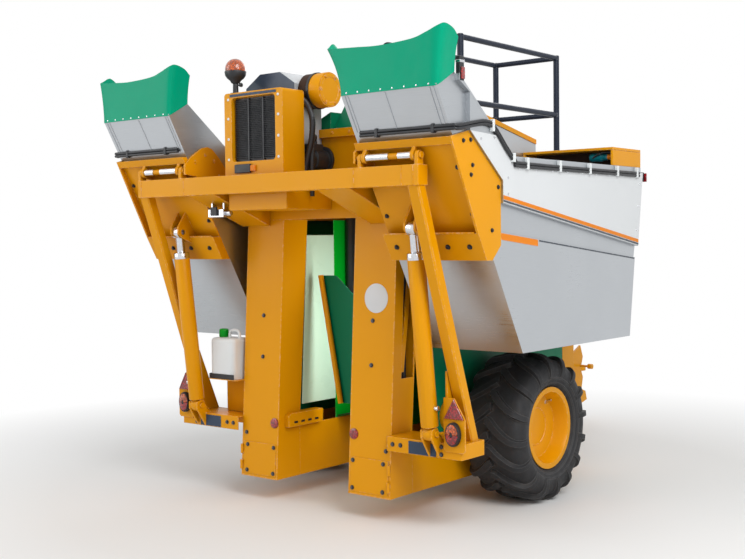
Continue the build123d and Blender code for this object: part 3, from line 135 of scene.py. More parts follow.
class HarvesterStage(bpy.types.PropertyGroup):
    """Camera, lights and floor."""

    distance: FloatProperty(
        name="Camera behind axle", description="Camera's distance behind the axle", default=5.678,
        unit="LENGTH"
    )
    side: FloatProperty(
        name="Camera to the right", description="Camera's offset", default=4.264, unit="LENGTH",
    )
    height: FloatProperty(
        name="Camera height", description="Height of the lens", default=1.534, unit="LENGTH",
    )
    turn: FloatProperty(
        name="Turn", description="Azimuth of the view", default=radians(39.0), subtype="ANGLE",
    )
    dip: FloatProperty(name="Dip", description="Look down", default=radians(2.15), subtype="ANGLE")
    roll: FloatProperty(name="Roll", description="Camera roll", default=radians(-0.64), subtype="ANGLE")
    lens: FloatProperty(name="Lens", description="Focal length in mm on a 36 mm frame", default=54.75)
    key: FloatProperty(name="Key light", description="Power of the large lamp on the right", default=280.0)
    fill: FloatProperty(name="Fill light", description="Power of the lamp on the left", default=105.0)
    tunnel: FloatProperty(
        name="Tunnel light", description="Power of the slim lamp inside the tunnel", default=4.0,
    )
    sky: FloatProperty(
        name="Sky light", description="Strength of the even light from all round", default=0.54,
    )
    floor: tint("Floor", "Pale floor", 236, 236, 235)


# Materials

class Nodes:
    """Node tree being built."""

    def __init__(self, tree):
        self.tree = tree

    def feed(self, socket, value):
        if isinstance(value, bpy.types.NodeSocket):
            self.tree.links.new(value, socket)
        elif socket.type == "RGBA" and len(value) == 3:
            socket.default_value = (*value, 1)
        else:
            socket.default_value = value

    def node(self, kind, inputs=(), **settings):
        made = self.tree.nodes.new("ShaderNode" + kind)
        for key, value in settings.items():
            setattr(made, key, value)
        for key, value in dict(inputs).items():
            self.feed(made.inputs[key], value)
        return made.outputs


class Surface(Nodes):
    """Procedural material with textures in metres, ending in one Principled shader."""

    def __init__(self, name, **sockets):
        self.material = bpy.data.materials.new(name)
        self.material.use_nodes = True
        super().__init__(self.material.node_tree)
        self.shader = self.tree.nodes["Principled BSDF"]
        self.place = self.node("TexCoord")["Object"]
        self.normal = None
        for key, value in sockets.items():
            self.put(key, value)

    def put(self, key, value):
        """Set or link one socket of the shader, named with underscores."""
        self.feed(self.shader.inputs[key.replace("_", " ").title().replace("Ior", "IOR")], value)

    def stretched(self, scale):
        """Coordinates scaled by axis."""
        return self.node("Mapping", {"Vector": self.place, "Scale": scale})["Vector"]

    def grain(self, scale, detail=2.0, stretch=None):
        place = self.stretched(stretch) if stretch else self.place
        return self.node("TexNoise", {"Vector": place, "Scale": scale, "Detail": detail})["Fac"]

    def span(self, value, low, high, to_low=0.0, to_high=1.0):
        """Value mapped from one range to another, clamped."""
        inputs = {"Value": value, "From Min": low, "From Max": high, "To Min": to_low, "To Max": to_high}
        return self.node("MapRange", inputs)["Result"]

    def times(self, a, b):
        return self.node("Math", {0: a, 1: b}, operation="MULTIPLY")["Value"]

    def blend(self, factor, a, b):
        inputs = {0: factor, 6: a, 7: b}
        return self.node("Mix", inputs, data_type="RGBA")[2]

    def edges(self, width):
        """1 along sharp edges, 0 on flats."""
        rounded = self.node("Bevel", {"Radius": width}, samples=4)["Normal"]
        flat = self.node("NewGeometry")["Normal"]
        dot = self.node("VectorMath", {0: rounded, 1: flat}, operation="DOT_PRODUCT")["Value"]
        return self.span(dot, 0.998, 0.93)

    def hollows(self, reach):
        """1 in corners and recesses, 0 in the open."""
        open_share = self.node("AmbientOcclusion", {"Distance": reach}, samples=6)["AO"]
        return self.span(open_share, 0.95, 0.35)

    def axis(self, name):
        return self.node("SeparateXYZ", {"Vector": self.place})[name]

    def bump(self, height, depth):
        inputs = {"Height": height, "Distance": depth, "Strength": 1.0}
        if self.normal:
            inputs["Normal"] = self.normal
        self.normal = self.node("Bump", inputs)["Normal"]
        self.put("normal", self.normal)


def shade(colour, factor):
    """Colour made darker or lighter by a factor."""
    return tuple(min(1.0, c * factor) for c in colour)


def faded(colour, share):
    """Colour mixed towards white."""
    return tuple(c + (1 - c) * share for c in colour)


def enamel(name, colour, roughness=0.36, coat=0.06, hollow_shade=0.45):
    """Sprayed enamel: slight random changes of tone, orange peel, painted shade in corners and lighter worn edges.
    """
    made = Surface(name, coat_weight=coat, coat_roughness=0.15, specular_ior_level=0.16)
    base = made.blend(made.grain(1.4, 3), shade(colour, 0.94), shade(colour, 1.05))
    speckle = made.span(made.grain(55, 4), 0.45, 0.75)
    # Painted shade: the paint's own colour darkened in corners and recesses by an occlusion mask
    base = made.blend(made.times(made.hollows(0.09), hollow_shade), base, shade(colour, 0.42))
    base = made.blend(made.times(made.edges(0.005), speckle), base, faded(colour, 0.4))
    made.put("base_color", base)
    made.put("roughness", made.span(made.grain(7, 4), 0.3, 0.7, roughness - 0.06, roughness + 0.08))
    made.bump(made.grain(260, 2), 0.00025)
    made.bump(made.grain(2.2, 2), 0.003)
    return made.material


def rolled_steel(name, colour, roughness=0.34, stretch=(1.0, 1.0, 60.0)):
    """Stainless sheet: fine rolling lines and the shallow waves of thin plate."""
    made = Surface(name, metallic=1.0)
    lines = made.grain(9, 5, stretch)
    base = made.blend(lines, shade(colour, 0.86), shade(colour, 1.06))
    # Painted shade: the steel darkened in corners and recesses by an occlusion mask
    base = made.blend(made.times(made.hollows(0.12), 0.35), base, shade(colour, 0.5))
    made.put("base_color", base)
    smear = made.span(made.grain(3, 4), 0.3, 0.7, -0.05, 0.08)
    made.put(
        "roughness",
        made.node(
            "Math", {0: made.span(lines, 0.3, 0.7, roughness - 0.07, roughness + 0.07), 1: smear},
        )["Value"],
    )
    made.bump(lines, 0.00012)
    made.bump(made.grain(1.6, 1), 0.006)
    return made.material


def rubber_sheet(name, colour):
    """Soft plastic sheet of the spout lips: glossy, with slack ripples."""
    made = Surface(name, roughness=0.22, specular_ior_level=0.1)
    base = made.blend(made.grain(2.5, 3), shade(colour, 0.9), shade(colour, 1.08))
    made.put("base_color", base)
    made.bump(made.grain(320, 2), 0.0001)
    made.bump(made.grain(6, 2), 0.004)
    return made.material


def tyre_rubber(name, colour):
    """Moulded tread rubber with dust in its hollows."""
    made = Surface(name, specular_ior_level=0.35)
    base = made.blend(made.grain(12, 5), shade(colour, 0.75), shade(colour, 1.3))
    dust = made.times(made.hollows(0.05), made.span(made.grain(18, 4), 0.35, 0.7))
    base = made.blend(made.times(dust, 0.5), base, display(96, 88, 78))
    base = made.blend(made.times(made.edges(0.006), 0.35), base, faded(colour, 0.12))
    made.put("base_color", base)
    made.put("roughness", made.span(made.grain(25, 4), 0.3, 0.7, 0.52, 0.74))
    made.bump(made.grain(420, 3), 0.0004)
    made.bump(made.grain(60, 3), 0.0008)
    return made.material


def moulded_plastic(name, colour, roughness=0.45):
    """Grained plastic."""
    made = Surface(name)
    made.put("base_color", made.blend(made.grain(9, 4), shade(colour, 0.8), shade(colour, 1.2)))
    made.put("roughness", made.span(made.grain(30, 3), 0.3, 0.7, roughness - 0.06, roughness + 0.1))
    made.bump(made.grain(700, 2), 0.0002)
    return made.material


def milky_plastic(name, colour):
    """Blow-moulded can."""
    made = Surface(name, subsurface_weight=0.35, subsurface_radius=(0.03, 0.03, 0.03), roughness=0.38)
    made.put("base_color", made.blend(made.grain(5, 3), shade(colour, 0.93), shade(colour, 1.03)))
    made.bump(made.grain(40, 2), 0.0006)
    return made.material


def ribbed_lens(name, colour):
    """Clear coloured plastic with moulded cells behind a smooth face."""
    made = Surface(name, roughness=0.12, coat_weight=0.8, coat_roughness=0.03, transmission_weight=0.15)
    cells = made.node("TexVoronoi", {"Vector": made.place, "Scale": 95.0})["Distance"]
    made.put("base_color", made.blend(made.span(cells, 0.1, 0.6), shade(colour, 1.5), shade(colour, 0.45)))
    made.bump(cells, 0.002)
    return made.material


def bare_metal(name, colour, roughness, lines=40.0):
    """Turned or cast metal with fine lines."""
    made = Surface(name, metallic=1.0)
    marks = made.grain(lines, 5)
    made.put("base_color", made.blend(marks, shade(colour, 0.8), shade(colour, 1.1)))
    made.put("roughness", made.span(marks, 0.3, 0.7, roughness - 0.06, roughness + 0.1))
    made.bump(made.grain(500, 2), 0.0002)
    return made.material


def hood_paint(name, side, top):
    """Two-tone hood: slate on its top and rear slopes, light grey on its sides."""
    made = Surface(name, coat_weight=0.08, coat_roughness=0.15, specular_ior_level=0.3)
    facing = made.node("SeparateXYZ", {"Vector": made.node("TexCoord")["Normal"]})
    slopes = {0: made.span(facing["Z"], 0.25, 0.35), 1: made.span(facing["Y"], -0.3, -0.4)}
    tone = made.times(
        made.node("Math", slopes, operation="MAXIMUM")["Value"], made.span(facing["X"], 0.4, 0.3),
    )
    base = made.blend(tone, side, top)
    # Painted shade: the hood darkened in corners and recesses by an occlusion mask
    base = made.blend(made.times(made.hollows(0.08), 0.4), base, shade(top, 0.4))
    made.put("base_color", base)
    made.put("roughness", made.span(made.grain(8, 4), 0.3, 0.7, 0.28, 0.42))
    made.bump(made.grain(260, 2), 0.0002)
    return made.material


# Maker of each finish, its colour and what else it takes
RECIPES = {
    "paint_yellow": (enamel, "paint"),
    "bin_white": (enamel, "panel", 0.34, 0.08, 0.25),
    "bin_steel": (rolled_steel, "steel"),
    "green_sheet": (enamel, "sheet", 0.42, 0.03),
    "bright_green": (enamel, "liner", 0.42, 0.03),
    "green_rubber": (rubber_sheet, "lip"),
    "stainless": (enamel, "guide", 0.3, 0.1, 0.3),
    "steel_rod": (bare_metal, "chrome", 0.16, 90.0),
    "tyre_rubber": (tyre_rubber, "tyre"),
    "dark_paint": (enamel, "rail", 0.38, 0.08, 0.2),
    "grey_hood": (hood_paint, "hood", "slate"),
    "black_plastic": (moulded_plastic, "black"),
    "amber_lens": (ribbed_lens, "amber"),
    "red_lens": (ribbed_lens, "red"),
    "white_plastic": (milky_plastic, "can"),
    "cast_grey": (bare_metal, "cast", 0.5, 60.0),
    "hose_black": (moulded_plastic, "black", 0.38),
    "teal_paint": (enamel, "teal", 0.4),
    # Painted shade: finish of the dark box inside the covers and of the drum's sleeve
    "painted_shade": (enamel, "inside_shade", 0.6, 0.0),
    "slate_paint": (enamel, "slate", 0.4, 0.05, 0.2),
    "stripe_orange": (enamel, "stripe", 0.38, 0.05, 0.1),
    "stripe_grey": (enamel, "stripe_shadow", 0.38, 0.05, 0.1),
}


def finish(slot):
    """Material of a slot, made at its first use."""
    name = "finish_" + slot
    if name in bpy.data.materials:
        return bpy.data.materials[name]
    maker, *values = RECIPES[slot]
    colours = bpy.context.scene.harvester_colours
    return maker(
        name, *(tuple(getattr(colours, value)) if isinstance(value, str) else value for value in values),
    )


# Shapes

def smooth_line(points, steps):
    """Rounded line through the points, with steps spans between each two."""
    points = [Vector(point) for point in points]
    ends = [2 * points[0] - points[1], *points, 2 * points[-1] - points[-2]]
    line = []
    for a, b, c, d in zip(ends, ends[1:], ends[2:], ends[3:]):
        for step in range(steps):
            t = step / steps
            bend, twist = 2 * a - 5 * b + 4 * c - d, 3 * b - a - 3 * c + d
            line.append(0.5 * (2 * b + (c - a) * t + bend * t * t + twist * t ** 3))
    return [*line, points[-1]]


def around(share, side, other):
    """Direction at a share of a turn, from one side towards another."""
    return cos(tau * share) * side + sin(tau * share) * other


def round_edges(item, width, angle=38.0):
    """Bevel on edges sharper than an angle in degrees."""
    edge = item.modifiers.new("rounded", "BEVEL")
    edge.width = width
    edge.segments = 2
    edge.limit_method = "ANGLE"
    edge.angle_limit = radians(angle)
    edge.harden_normals = True


class Shape:
    """Mesh being built from closed pieces, in metres in the machine's frame."""

    def __init__(self):
        self.bm = bmesh.new()

    def loft(self, rings, closed=False):
        """Skin over rings of equal length; closed joins the last ring to the first."""
        rows = [[self.bm.verts.new(point) for point in ring] for ring in rings]
        pairs = list(zip(rows, rows[1:])) + ([(rows[-1], rows[0])] if closed else [])
        for low, high in pairs:
            for i, vert in enumerate(low):
                j = (i + 1) % len(low)
                self.bm.faces.new((vert, low[j], high[j], high[i]))
        if not closed:
            self.bm.faces.new(list(reversed(rows[0])))
            self.bm.faces.new(rows[-1])
        return self

    def prism(self, outline, offset):
        """Outline of points pushed along an offset."""
        return self.loft([[Vector(p) for p in outline], [Vector(p) + Vector(offset) for p in outline]])

    def slab(self, outline, x_from, x_to):
        """Side-view outline of (forward, height) points between two widths."""
        return self.prism([at(x_from, f, z) for f, z in outline], (x_to - x_from, 0, 0))

    def box(self, low, high):
        low, high = Vector(low), Vector(high)
        foot = [
            (low.x, low.y, low.z), (high.x, low.y, low.z), (high.x, high.y, low.z), (low.x, high.y, low.z),
        ]
        return self.prism(foot, (0, 0, high.z - low.z))

    def tube(self, points, radius, sides=12):
        """Round bar along a line of points."""
        points = [Vector(point) for point in points]
        rings = []
        across = None
        for i, point in enumerate(points):
            along = (points[min(i + 1, len(points) - 1)] - points[max(i - 1, 0)]).normalized()
            if across is None:
                across = along.orthogonal().normalized()
            across = (across - along * across.dot(along)).normalized()
            up = along.cross(across)
            size = radius(i / (len(points) - 1)) if callable(radius) else radius
            rings.append([point + size * around(k / sides, across, up) for k in range(sides)])
        return self.loft(rings)

    def turned(self, profile, centre, axis, segments=32):
        """Closed (along, radius) profile turned about an axis through a centre."""
        centre, axis = Vector(centre), Vector(axis).normalized()
        side = axis.orthogonal().normalized()
        other = axis.cross(side)
        rings = []
        for k in range(segments):
            out = around(k / segments, side, other)
            rings.append([centre + axis * along + out * max(radius, 0.0004) for along, radius in profile])
        return self.loft(rings, closed=True)

    def knob(self, profile, centre, axis, segments=32):
        """Turned piece with flat ends, from its outer (along, radius) points."""
        return self.turned([(profile[0][0], 0), *profile, (profile[-1][0], 0)], centre, axis, segments)

    def bolt(self, point, normal, across=0.019):
        """Hexagon head on a washer, standing on a surface."""
        point, normal = Vector(point), Vector(normal).normalized()
        self.turned(
            [(-0.001, 0), (0.002, 0), (0.002, across * 0.78), (-0.001, across * 0.78)], point, normal, 16,
        )
        side = normal.orthogonal().normalized()
        other = normal.cross(side)
        rings = []
        for height, size in ((0.002, 0.577), (across * 0.5, 0.577), (across * 0.6, 0.48)):
            middle = point + normal * height
            rings.append([middle + across * size * around(k / 6, side, other) for k in range(6)])
        return self.loft(rings)

    def sheet(self, grid, thickness):
        """Bent sheet over a grid of rows of points, thickened along its normals."""
        last_row, last = len(grid) - 1, len(grid[0]) - 1
        faces = []
        for offset in (thickness / 2, -thickness / 2):
            rows = []
            for i, row in enumerate(grid):
                rows.append([])
                for j, point in enumerate(row):
                    along = grid[min(i + 1, last_row)][j] - grid[max(i - 1, 0)][j]
                    up = row[min(j + 1, last)] - row[max(j - 1, 0)]
                    rows[-1].append(self.bm.verts.new(point + along.cross(up).normalized() * offset))
            for i in range(last_row):
                for j in range(last):
                    faces.append((rows[i][j], rows[i + 1][j], rows[i + 1][j + 1], rows[i][j + 1]))
            rim = rows[0] + [row[-1] for row in rows[1:]] + rows[-1][-2::-1] + [
                row[0] for row in rows[-2:0:-1]
            ]
            if offset > 0:
                outer = rim
        for k, vert in enumerate(outer):
            after = (k + 1) % len(outer)
            faces.append((vert, outer[after], rim[after], rim[k]))
        for face in faces:
            self.bm.faces.new(face)
        return self

    def sided(self, name, hand, slot, body="chassis", rounded=0.0):
        """Object of this shape, drawn for the right side and mirrored for the left."""
        if hand == "left":
            bmesh.ops.scale(self.bm, vec=(-1, 1, 1), verts=self.bm.verts)
        return self.make(name + "_" + hand, slot, body, rounded)

    def make(self, name, slot, body="chassis", rounded=0.0, soft_angle=38.0):
        """Object of this shape with a slot's finish, riding on a body."""
        bmesh.ops.recalc_face_normals(self.bm, faces=self.bm.faces)
        for face in self.bm.faces:
            face.smooth = True
        for edge in self.bm.edges:
            edge.smooth = not edge.is_manifold or edge.calc_face_angle(0) < radians(soft_angle)
        mesh = bpy.data.meshes.new(name)
        self.bm.to_mesh(mesh)
        self.bm.free()
        mesh.materials.append(finish(slot))
        made = bpy.data.objects.new(name, mesh)
        bpy.context.collection.objects.link(made)
        if rounded:
            round_edges(made, rounded, soft_angle)
        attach(made, body)
        return made


# Operators

class HARVESTER_OT_stage(bpy.types.Operator):
    """Floor, lights, world and camera"""

    bl_idname = "harvester.stage"
    bl_label = "Stage"

    def execute(self, context):
        stage = context.scene.harvester_stage
        context.scene.view_settings.view_transform = "Standard"
        self.sky(context.scene, stage)
        self.floor(stage)
        self.lamps(stage)
        self.camera(context.scene, stage)
        return {"FINISHED"}

    def seen(self, nodes):
        """1 for rays that show the background itself: from the camera, in gloss or through glass."""
        rays = nodes.node("LightPath")
        either = nodes.node(
            "Math", {0: rays["Is Camera Ray"], 1: rays["Is Glossy Ray"]}, operation="MAXIMUM",
        )["Value"]
        return nodes.node("Math", {0: either, 1: rays["Is Transmission Ray"]}, operation="MAXIMUM")["Value"]

    def sky(self, scene, stage):
        world = bpy.data.worlds.new("studio")
        world.use_nodes = True
        scene.world = world
        world.node_tree.nodes.clear()
        nodes = Nodes(world.node_tree)
        even, white = (
            nodes.node("Background", {"Color": (1, 1, 1), "Strength": strength})["Background"]
            for strength in (stage.sky, 1.0)
        )
        mix = nodes.node("MixShader", {0: self.seen(nodes), 1: even, 2: white})["Shader"]
        nodes.node("OutputWorld", {"Surface": mix})

    def floor(self, stage):
        radius = 60.0
        mesh = bpy.data.meshes.new("floor")
        ring = [(radius * cos(tau * i / 64), radius * sin(tau * i / 64), 0.0) for i in range(64)]
        mesh.from_pydata(ring, [], [tuple(range(64))])
        floor = bpy.data.objects.new("floor", mesh)
        bpy.context.collection.objects.link(floor)
        made = Surface("floor_paint", base_color=tuple(stage.floor), roughness=0.9, specular_ior_level=0.1)
        offset = made.node(
            "VectorMath", {0: made.place, 1: (0.0, AXLE.y, 0.0)}, operation="SUBTRACT",
        )["Vector"]
        reach = made.node("VectorMath", {0: offset}, operation="LENGTH")["Value"]
        far = made.times(made.span(reach, 2.2, 4.6), self.seen(made))
        white = made.node("Emission", {"Color": (1, 1, 1), "Strength": 1.0})["Emission"]
        mix = made.node("MixShader", {0: far, 1: made.shader.outputs[0], 2: white})["Shader"]
        made.feed(made.tree.nodes["Material Output"].inputs["Surface"], mix)
        mesh.materials.append(made.material)

    def lamps(self, stage):
        target = Vector((0, AXLE.y, 1.2))
        for name, power, size, spot in (
            ("key", stage.key, 3.6, at(5.2, -3.0, 5.2)),
            ("fill", stage.fill, 4.0, at(-4.2, -5.5, 3.6)),
            ("back", stage.fill * 0.8, 4.0, at(-2.0, 5.5, 4.5)),
        ):
            lamp = self.lamp(name, power, size, spot)
            lamp.rotation_mode = "QUATERNION"
            lamp.rotation_quaternion = (target - spot).to_track_quat("-Z", "Y")
        slim = self.lamp("tunnel", stage.tunnel, 0.9, at(0.24, -0.56, 1.02))
        slim.data.shape, slim.data.size_y = "RECTANGLE", 0.14
        slim.rotation_euler = (0, radians(90), 0)
        slim.visible_camera = slim.visible_glossy = False

    def lamp(self, name, power, size, spot):
        data = bpy.data.lights.new(name, "AREA")
        data.energy, data.size = power, size
        lamp = bpy.data.objects.new(name, data)
        lamp.location = spot
        bpy.context.collection.objects.link(lamp)
        return lamp

    def camera(self, scene, stage):
        data = bpy.data.cameras.new("camera")
        data.sensor_width = 36.0
        data.sensor_fit = "HORIZONTAL"
        data.lens = stage.lens
        camera = bpy.data.objects.new("camera", data)
        right = Vector((cos(stage.turn), sin(stage.turn), 0))
        back = Vector((sin(stage.turn) * cos(stage.dip), -cos(stage.turn) * cos(stage.dip), sin(stage.dip)))
        up = back.cross(right)
        tilted_right = cos(stage.roll) * right + sin(stage.roll) * up
        tilted_up = cos(stage.roll) * up - sin(stage.roll) * right
        camera.matrix_world = Matrix.Translation(at(stage.side, -stage.distance, stage.height)) @ Matrix(
            (tilted_right, tilted_up, back)
        ).transposed().to_4x4()
        bpy.context.collection.objects.link(camera)
        scene.camera = camera


class HARVESTER_OT_finish_solids(bpy.types.Operator):
    """Finishes and rounded edges on the machine's solid parts"""

    bl_idname = "harvester.finish_solids"
    bl_label = "Finish solids"

    FINE = (
        "tail_lamps", "reflectors", "cooler_grille", "beacon", "work_lamp", "shakers", "lip", "tyre",
        "steer", "lift",
    )

    def execute(self, context):
        sizes = context.scene.harvester_sizes
        for part in frame["record"]["subparts"]:
            node = frame["nodes"][part["node"]]
            node.data.materials.clear()
            node.data.materials.append(finish(part["material_slot"]))
            weld = node.modifiers.new("weld", "WELD")
            weld.merge_threshold = 0.00005
            round_edges(node, sizes.edge * (0.4 if part["node"].startswith(self.FINE) else 1.0))
        return {"FINISHED"}


class HARVESTER_OT_tyres(bpy.types.Operator):
    """Tyres with long curved lugs over the shoulders"""

    bl_idname = "harvester.tyres"
    bl_label = "Tyres"

    # Half section from the crown to the bead: out from the middle plane, and radius
    SECTION = (
        (0.0, 0.398), (0.07, 0.397), (0.125, 0.393), (0.160, 0.383), (0.181, 0.362), (0.1925, 0.330),
        (0.192, 0.300), (0.183, 0.270), (0.168, 0.248), (0.153, 0.238), (0.150, 0.226), (0.120, 0.2168),
    )

    def execute(self, context):
        sizes = context.scene.harvester_sizes
        half = smooth_line([(x, 0, r) for x, r in self.SECTION], 4)
        for hand in HANDS:
            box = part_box("tyre_" + hand)
            centre = (Vector(box[0]) + Vector(box[1])) / 2
            shape = Shape()
            profile = [(-p.x, p.z) for p in reversed(half)] + [(p.x, p.z) for p in half[1:]]
            shape.turned(profile, centre, (1, 0, 0), 120)
            for ridge in (0.290, 0.262):
                spot = min(half, key=lambda p: abs(p.z - ridge) + (1 if p.x < 0.15 else 0)).x
                for side in (1, -1):
                    ring = [
                        (side * (spot - 0.003), ridge - 0.006), (side * (spot + 0.002), ridge),
                        (side * (spot - 0.003), ridge + 0.006),
                    ]
                    shape.turned(ring, centre, (1, 0, 0), 120)
            for side in (1, -1):
                for lug in range(sizes.lugs):
                    start = tau * (lug + (0.5 if side > 0 else 0.0)) / sizes.lugs
                    self.lug(shape, centre, half, side, start)
            tyre = shape.make("tyre_tread_" + hand, "tyre_rubber", "wheel_" + hand, soft_angle=42)
            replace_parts(tyre, "tyre_" + hand)
        return {"FINISHED"}

    def lug(self, shape, centre, half, side, start):
        """One tread bar from the middle over the shoulder and down the sidewall."""
        lengths = [0.0]
        for a, b in zip(half, half[1:]):
            lengths.append(lengths[-1] + (b - a).length)
        reach = 0.262
        steps = 18
        spots, normals = [], []
        for step in range(steps + 1):
            s = -0.012 + (reach + 0.012) * step / steps
            i = max(k for k, length in enumerate(lengths) if length <= max(s, 0))
            i = min(i, len(half) - 2)
            share = (s - lengths[i]) / (lengths[i + 1] - lengths[i])
            spot = half[i].lerp(half[i + 1], share)
            slope = (half[i + 1] - half[i]).normalized()
            angle = start + 0.62 * (1 - (1 - min(max(s, 0) / 0.2, 1)) ** 1.6) * 0.5
            out = Vector((0, cos(angle), sin(angle)))
            spots.append(centre + Vector((side * spot.x, 0, 0)) + out * spot.z)
            normals.append((Vector((side * -slope.z, 0, 0)) + out * slope.x).normalized())
        rings = []
        for step, (spot, normal) in enumerate(zip(spots, normals)):
            t = step / steps
            along = (spots[min(step + 1, steps)] - spots[max(step - 1, 0)]).normalized()
            wide = normal.cross(along).normalized()
            crown = 0.0262 if t < 0.6 else 0.0262 * (1 - 0.82 * ((t - 0.6) / 0.4))
            foot = 0.027 - 0.009 * t
            top = foot * 0.72
            # The lug's top stays inside the tyre's full radius
            rings.append([
                spot - normal * 0.006 - wide * foot, spot + normal * crown - wide * top,
                spot + normal * crown + wide * top, spot - normal * 0.006 + wide * foot,
            ])
        shape.loft(rings)


class HARVESTER_OT_lips(bpy.types.Operator):
    """Green lips round the spouts, flared and curled at their corners"""

    bl_idname = "harvester.lips"
    bl_label = "Spout lips"

    INNER, OUTER = 0.631, 1.216
    # Route round the spout: across, forward of the rear wall, foot height, top height, flare across
    ROUTE = (
        (INNER, 0.137, 0.078, 0.238, -0.104),
        (INNER, 0.078, 0.044, 0.272, -0.106),
        (INNER, 0.030, 0.016, 0.250, -0.094),
        (INNER + 0.006, 0.006, 0.0, 0.238, -0.084),
        (INNER + 0.030, 0.0, 0.0, 0.234, -0.062),
        (INNER + 0.120, 0.0, 0.0, 0.226, -0.012),
        (0.880, 0.0, 0.0, 0.219, 0.0),
        (OUTER - 0.150, 0.0, 0.0, 0.228, 0.002),
        (OUTER - 0.070, 0.0, 0.0, 0.248, 0.006),
        (OUTER - 0.014, 0.003, 0.0, 0.274, 0.022),
        (OUTER, 0.024, 0.013, 0.284, 0.031),
        (OUTER, 0.090, 0.050, 0.268, 0.030),
        (OUTER, 0.137, 0.078, 0.236, 0.024),
    )

    def execute(self, context):
        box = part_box("lip_right")
        rear, foot = box[0].y - AXLE.y + 0.008, box[0].z + 0.001
        for hand in HANDS:
            # Both lips lean to the machine's left
            shift, lean = (0.0, -1.0) if hand == "right" else (-self.INNER - self.OUTER, -0.030)
            low = smooth_line(
                [at(x + shift, rear + f, foot + low) for x, f, low, high, flare in self.ROUTE], 6,
            )
            top = smooth_line([
                at(x + shift + max(flare, lean), rear + f, foot + high)
                for x, f, low, high, flare in self.ROUTE
            ], 6)
            grid = []
            for a, b in zip(low, top):
                row = []
                for step in range(9):
                    t = step / 8
                    point = a.lerp(b, t)
                    point.x = a.x + (b.x - a.x) * t ** 1.8
                    row.append(point)
                grid.append(row)
            lip = Shape().sheet(grid, 0.007).make("spout_lip_" + hand, "green_rubber", "bin_" + hand)
            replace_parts(lip, "lip_" + hand)
            rivets = Shape()
            for step in range(8):
                spot = at(
                    self.INNER + 0.045 + (self.OUTER - self.INNER - 0.09) * step / 7, rear - 0.0032,
                    foot + 0.010,
                )
                rivets.turned([(0, 0), (0, 0.0045), (0.0015, 0.004), (0.0022, 0)], spot, (0, -1, 0), 12)
            rivets.sided("lip_rivets", hand, "steel_rod", "bin_" + hand)
        return {"FINISHED"}


class HARVESTER_OT_cooler_front(bpy.types.Operator):
    """Cooler grille with its slats and bars"""

    bl_idname = "harvester.cooler_front"
    bl_label = "Cooler front"

    def execute(self, context):
        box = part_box("cooler_grille")
        low, high = Vector(box[0]), Vector(box[1])
        slats = Shape()
        count = context.scene.harvester_sizes.slats
        pitch = (high.z - low.z - 0.024) / count
        slats.box((low.x + 0.004, high.y - 0.004, low.z + 0.004), (high.x - 0.004, high.y, high.z - 0.004))
        for step in range(count):
            z = low.z + 0.012 + pitch * (step + 0.5)
            rear, front = low.y + 0.0005, high.y - 0.003
            slats.prism(
                [(low.x + 0.006, rear, z - pitch * 0.30), (low.x + 0.006, rear, z - pitch * 0.12),
                 (low.x + 0.006, front, z + pitch * 0.42), (low.x + 0.006, front, z + pitch * 0.24)],
                (high.x - low.x - 0.012, 0, 0),
            )
        for share in (1 / 3, 2 / 3):
            x = low.x + (high.x - low.x) * share
            slats.box(
                (x - 0.004, low.y + 0.0002, low.z + 0.006), (x + 0.004, high.y - 0.003, high.z - 0.006),
            )
        grille = slats.make("grille_slats", "black_plastic")
        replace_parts(grille, "cooler_grille")
        return {"FINISHED"}


class HARVESTER_OT_bin_panels(bpy.types.Operator):
    """White upper side panels of the bins with their stripes and screws"""

    bl_idname = "harvester.bin_panels"
    bl_label = "Bin panels"

    PANEL = (
        (-0.905, 1.697), (-0.905, 1.806), (-1.188, 2.035), (-0.966, 2.025), (-0.815, 1.898), (0.650, 1.898),
        (0.586, 1.466),
    )
    STRIPE_REAR, STRIPE_FRONT = (-0.905, 1.697), (0.586, 1.466)
    BAND_REAR, BAND_FRONT = (-0.905, 1.553), (0.571, 1.399)

    def strip(self, shape, rear, front, low, high, face, start=0.0, end=1.0):
        """Thin strip along a line, from low to high over it, between two shares of its length."""
        points = []
        for share, rise in ((start, low), (end, low), (end, high), (start, high)):
            f = rear[0] + (front[0] - rear[0]) * share
            points.append((f, rear[1] + (front[1] - rear[1]) * share + rise))
        shape.slab(points, face, face + 0.0012)

    def execute(self, context):
        for hand in HANDS:
            body = "bin_" + hand
            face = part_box("hopper_right")[1].x
            panel = Shape().slab(self.PANEL, face + 0.0002, face + 0.002)
            panel.sided("bin_panel", hand, "bin_white", body, 0.001)
            face += 0.002
            orange, grey = Shape(), Shape()
            self.strip(grey, self.STRIPE_REAR, self.STRIPE_FRONT, 0.004, 0.014, face)
            self.strip(orange, self.STRIPE_REAR, self.STRIPE_FRONT, 0.017, 0.037, face)
            band = 1.2222
            self.strip(orange, self.BAND_REAR, self.BAND_FRONT, -0.040, -0.006, band, 0.0, 0.24)
            self.strip(grey, self.BAND_REAR, self.BAND_FRONT, -0.014, -0.006, band, 0.25, 0.995)
            orange.sided("stripe_orange", hand, "stripe_orange", body)
            grey.sided("stripe_grey", hand, "stripe_grey", body)
            screws = Shape()
            for share in range(9):
                f = -0.75 + 1.30 * share / 8
                screws.turned(
                    [(0, 0), (0, 0.006), (0.002, 0.005), (0.0028, 0)], at(face, f, 1.872), (1, 0, 0), 12,
                )
            for f, z in (
                (-0.86, 1.74), (-0.86, 1.82), (0.56, 1.56), (0.585, 1.70), (0.605, 1.83), (-1.10, 2.00),
                (-0.985, 2.01),
            ):
                screws.turned(
                    [(0, 0), (0, 0.007), (0.002, 0.006), (0.003, 0)], at(face, f, z), (1, 0, 0), 12,
                )
            screws.sided("panel_screws", hand, "steel_rod", body)
        return {"FINISHED"}


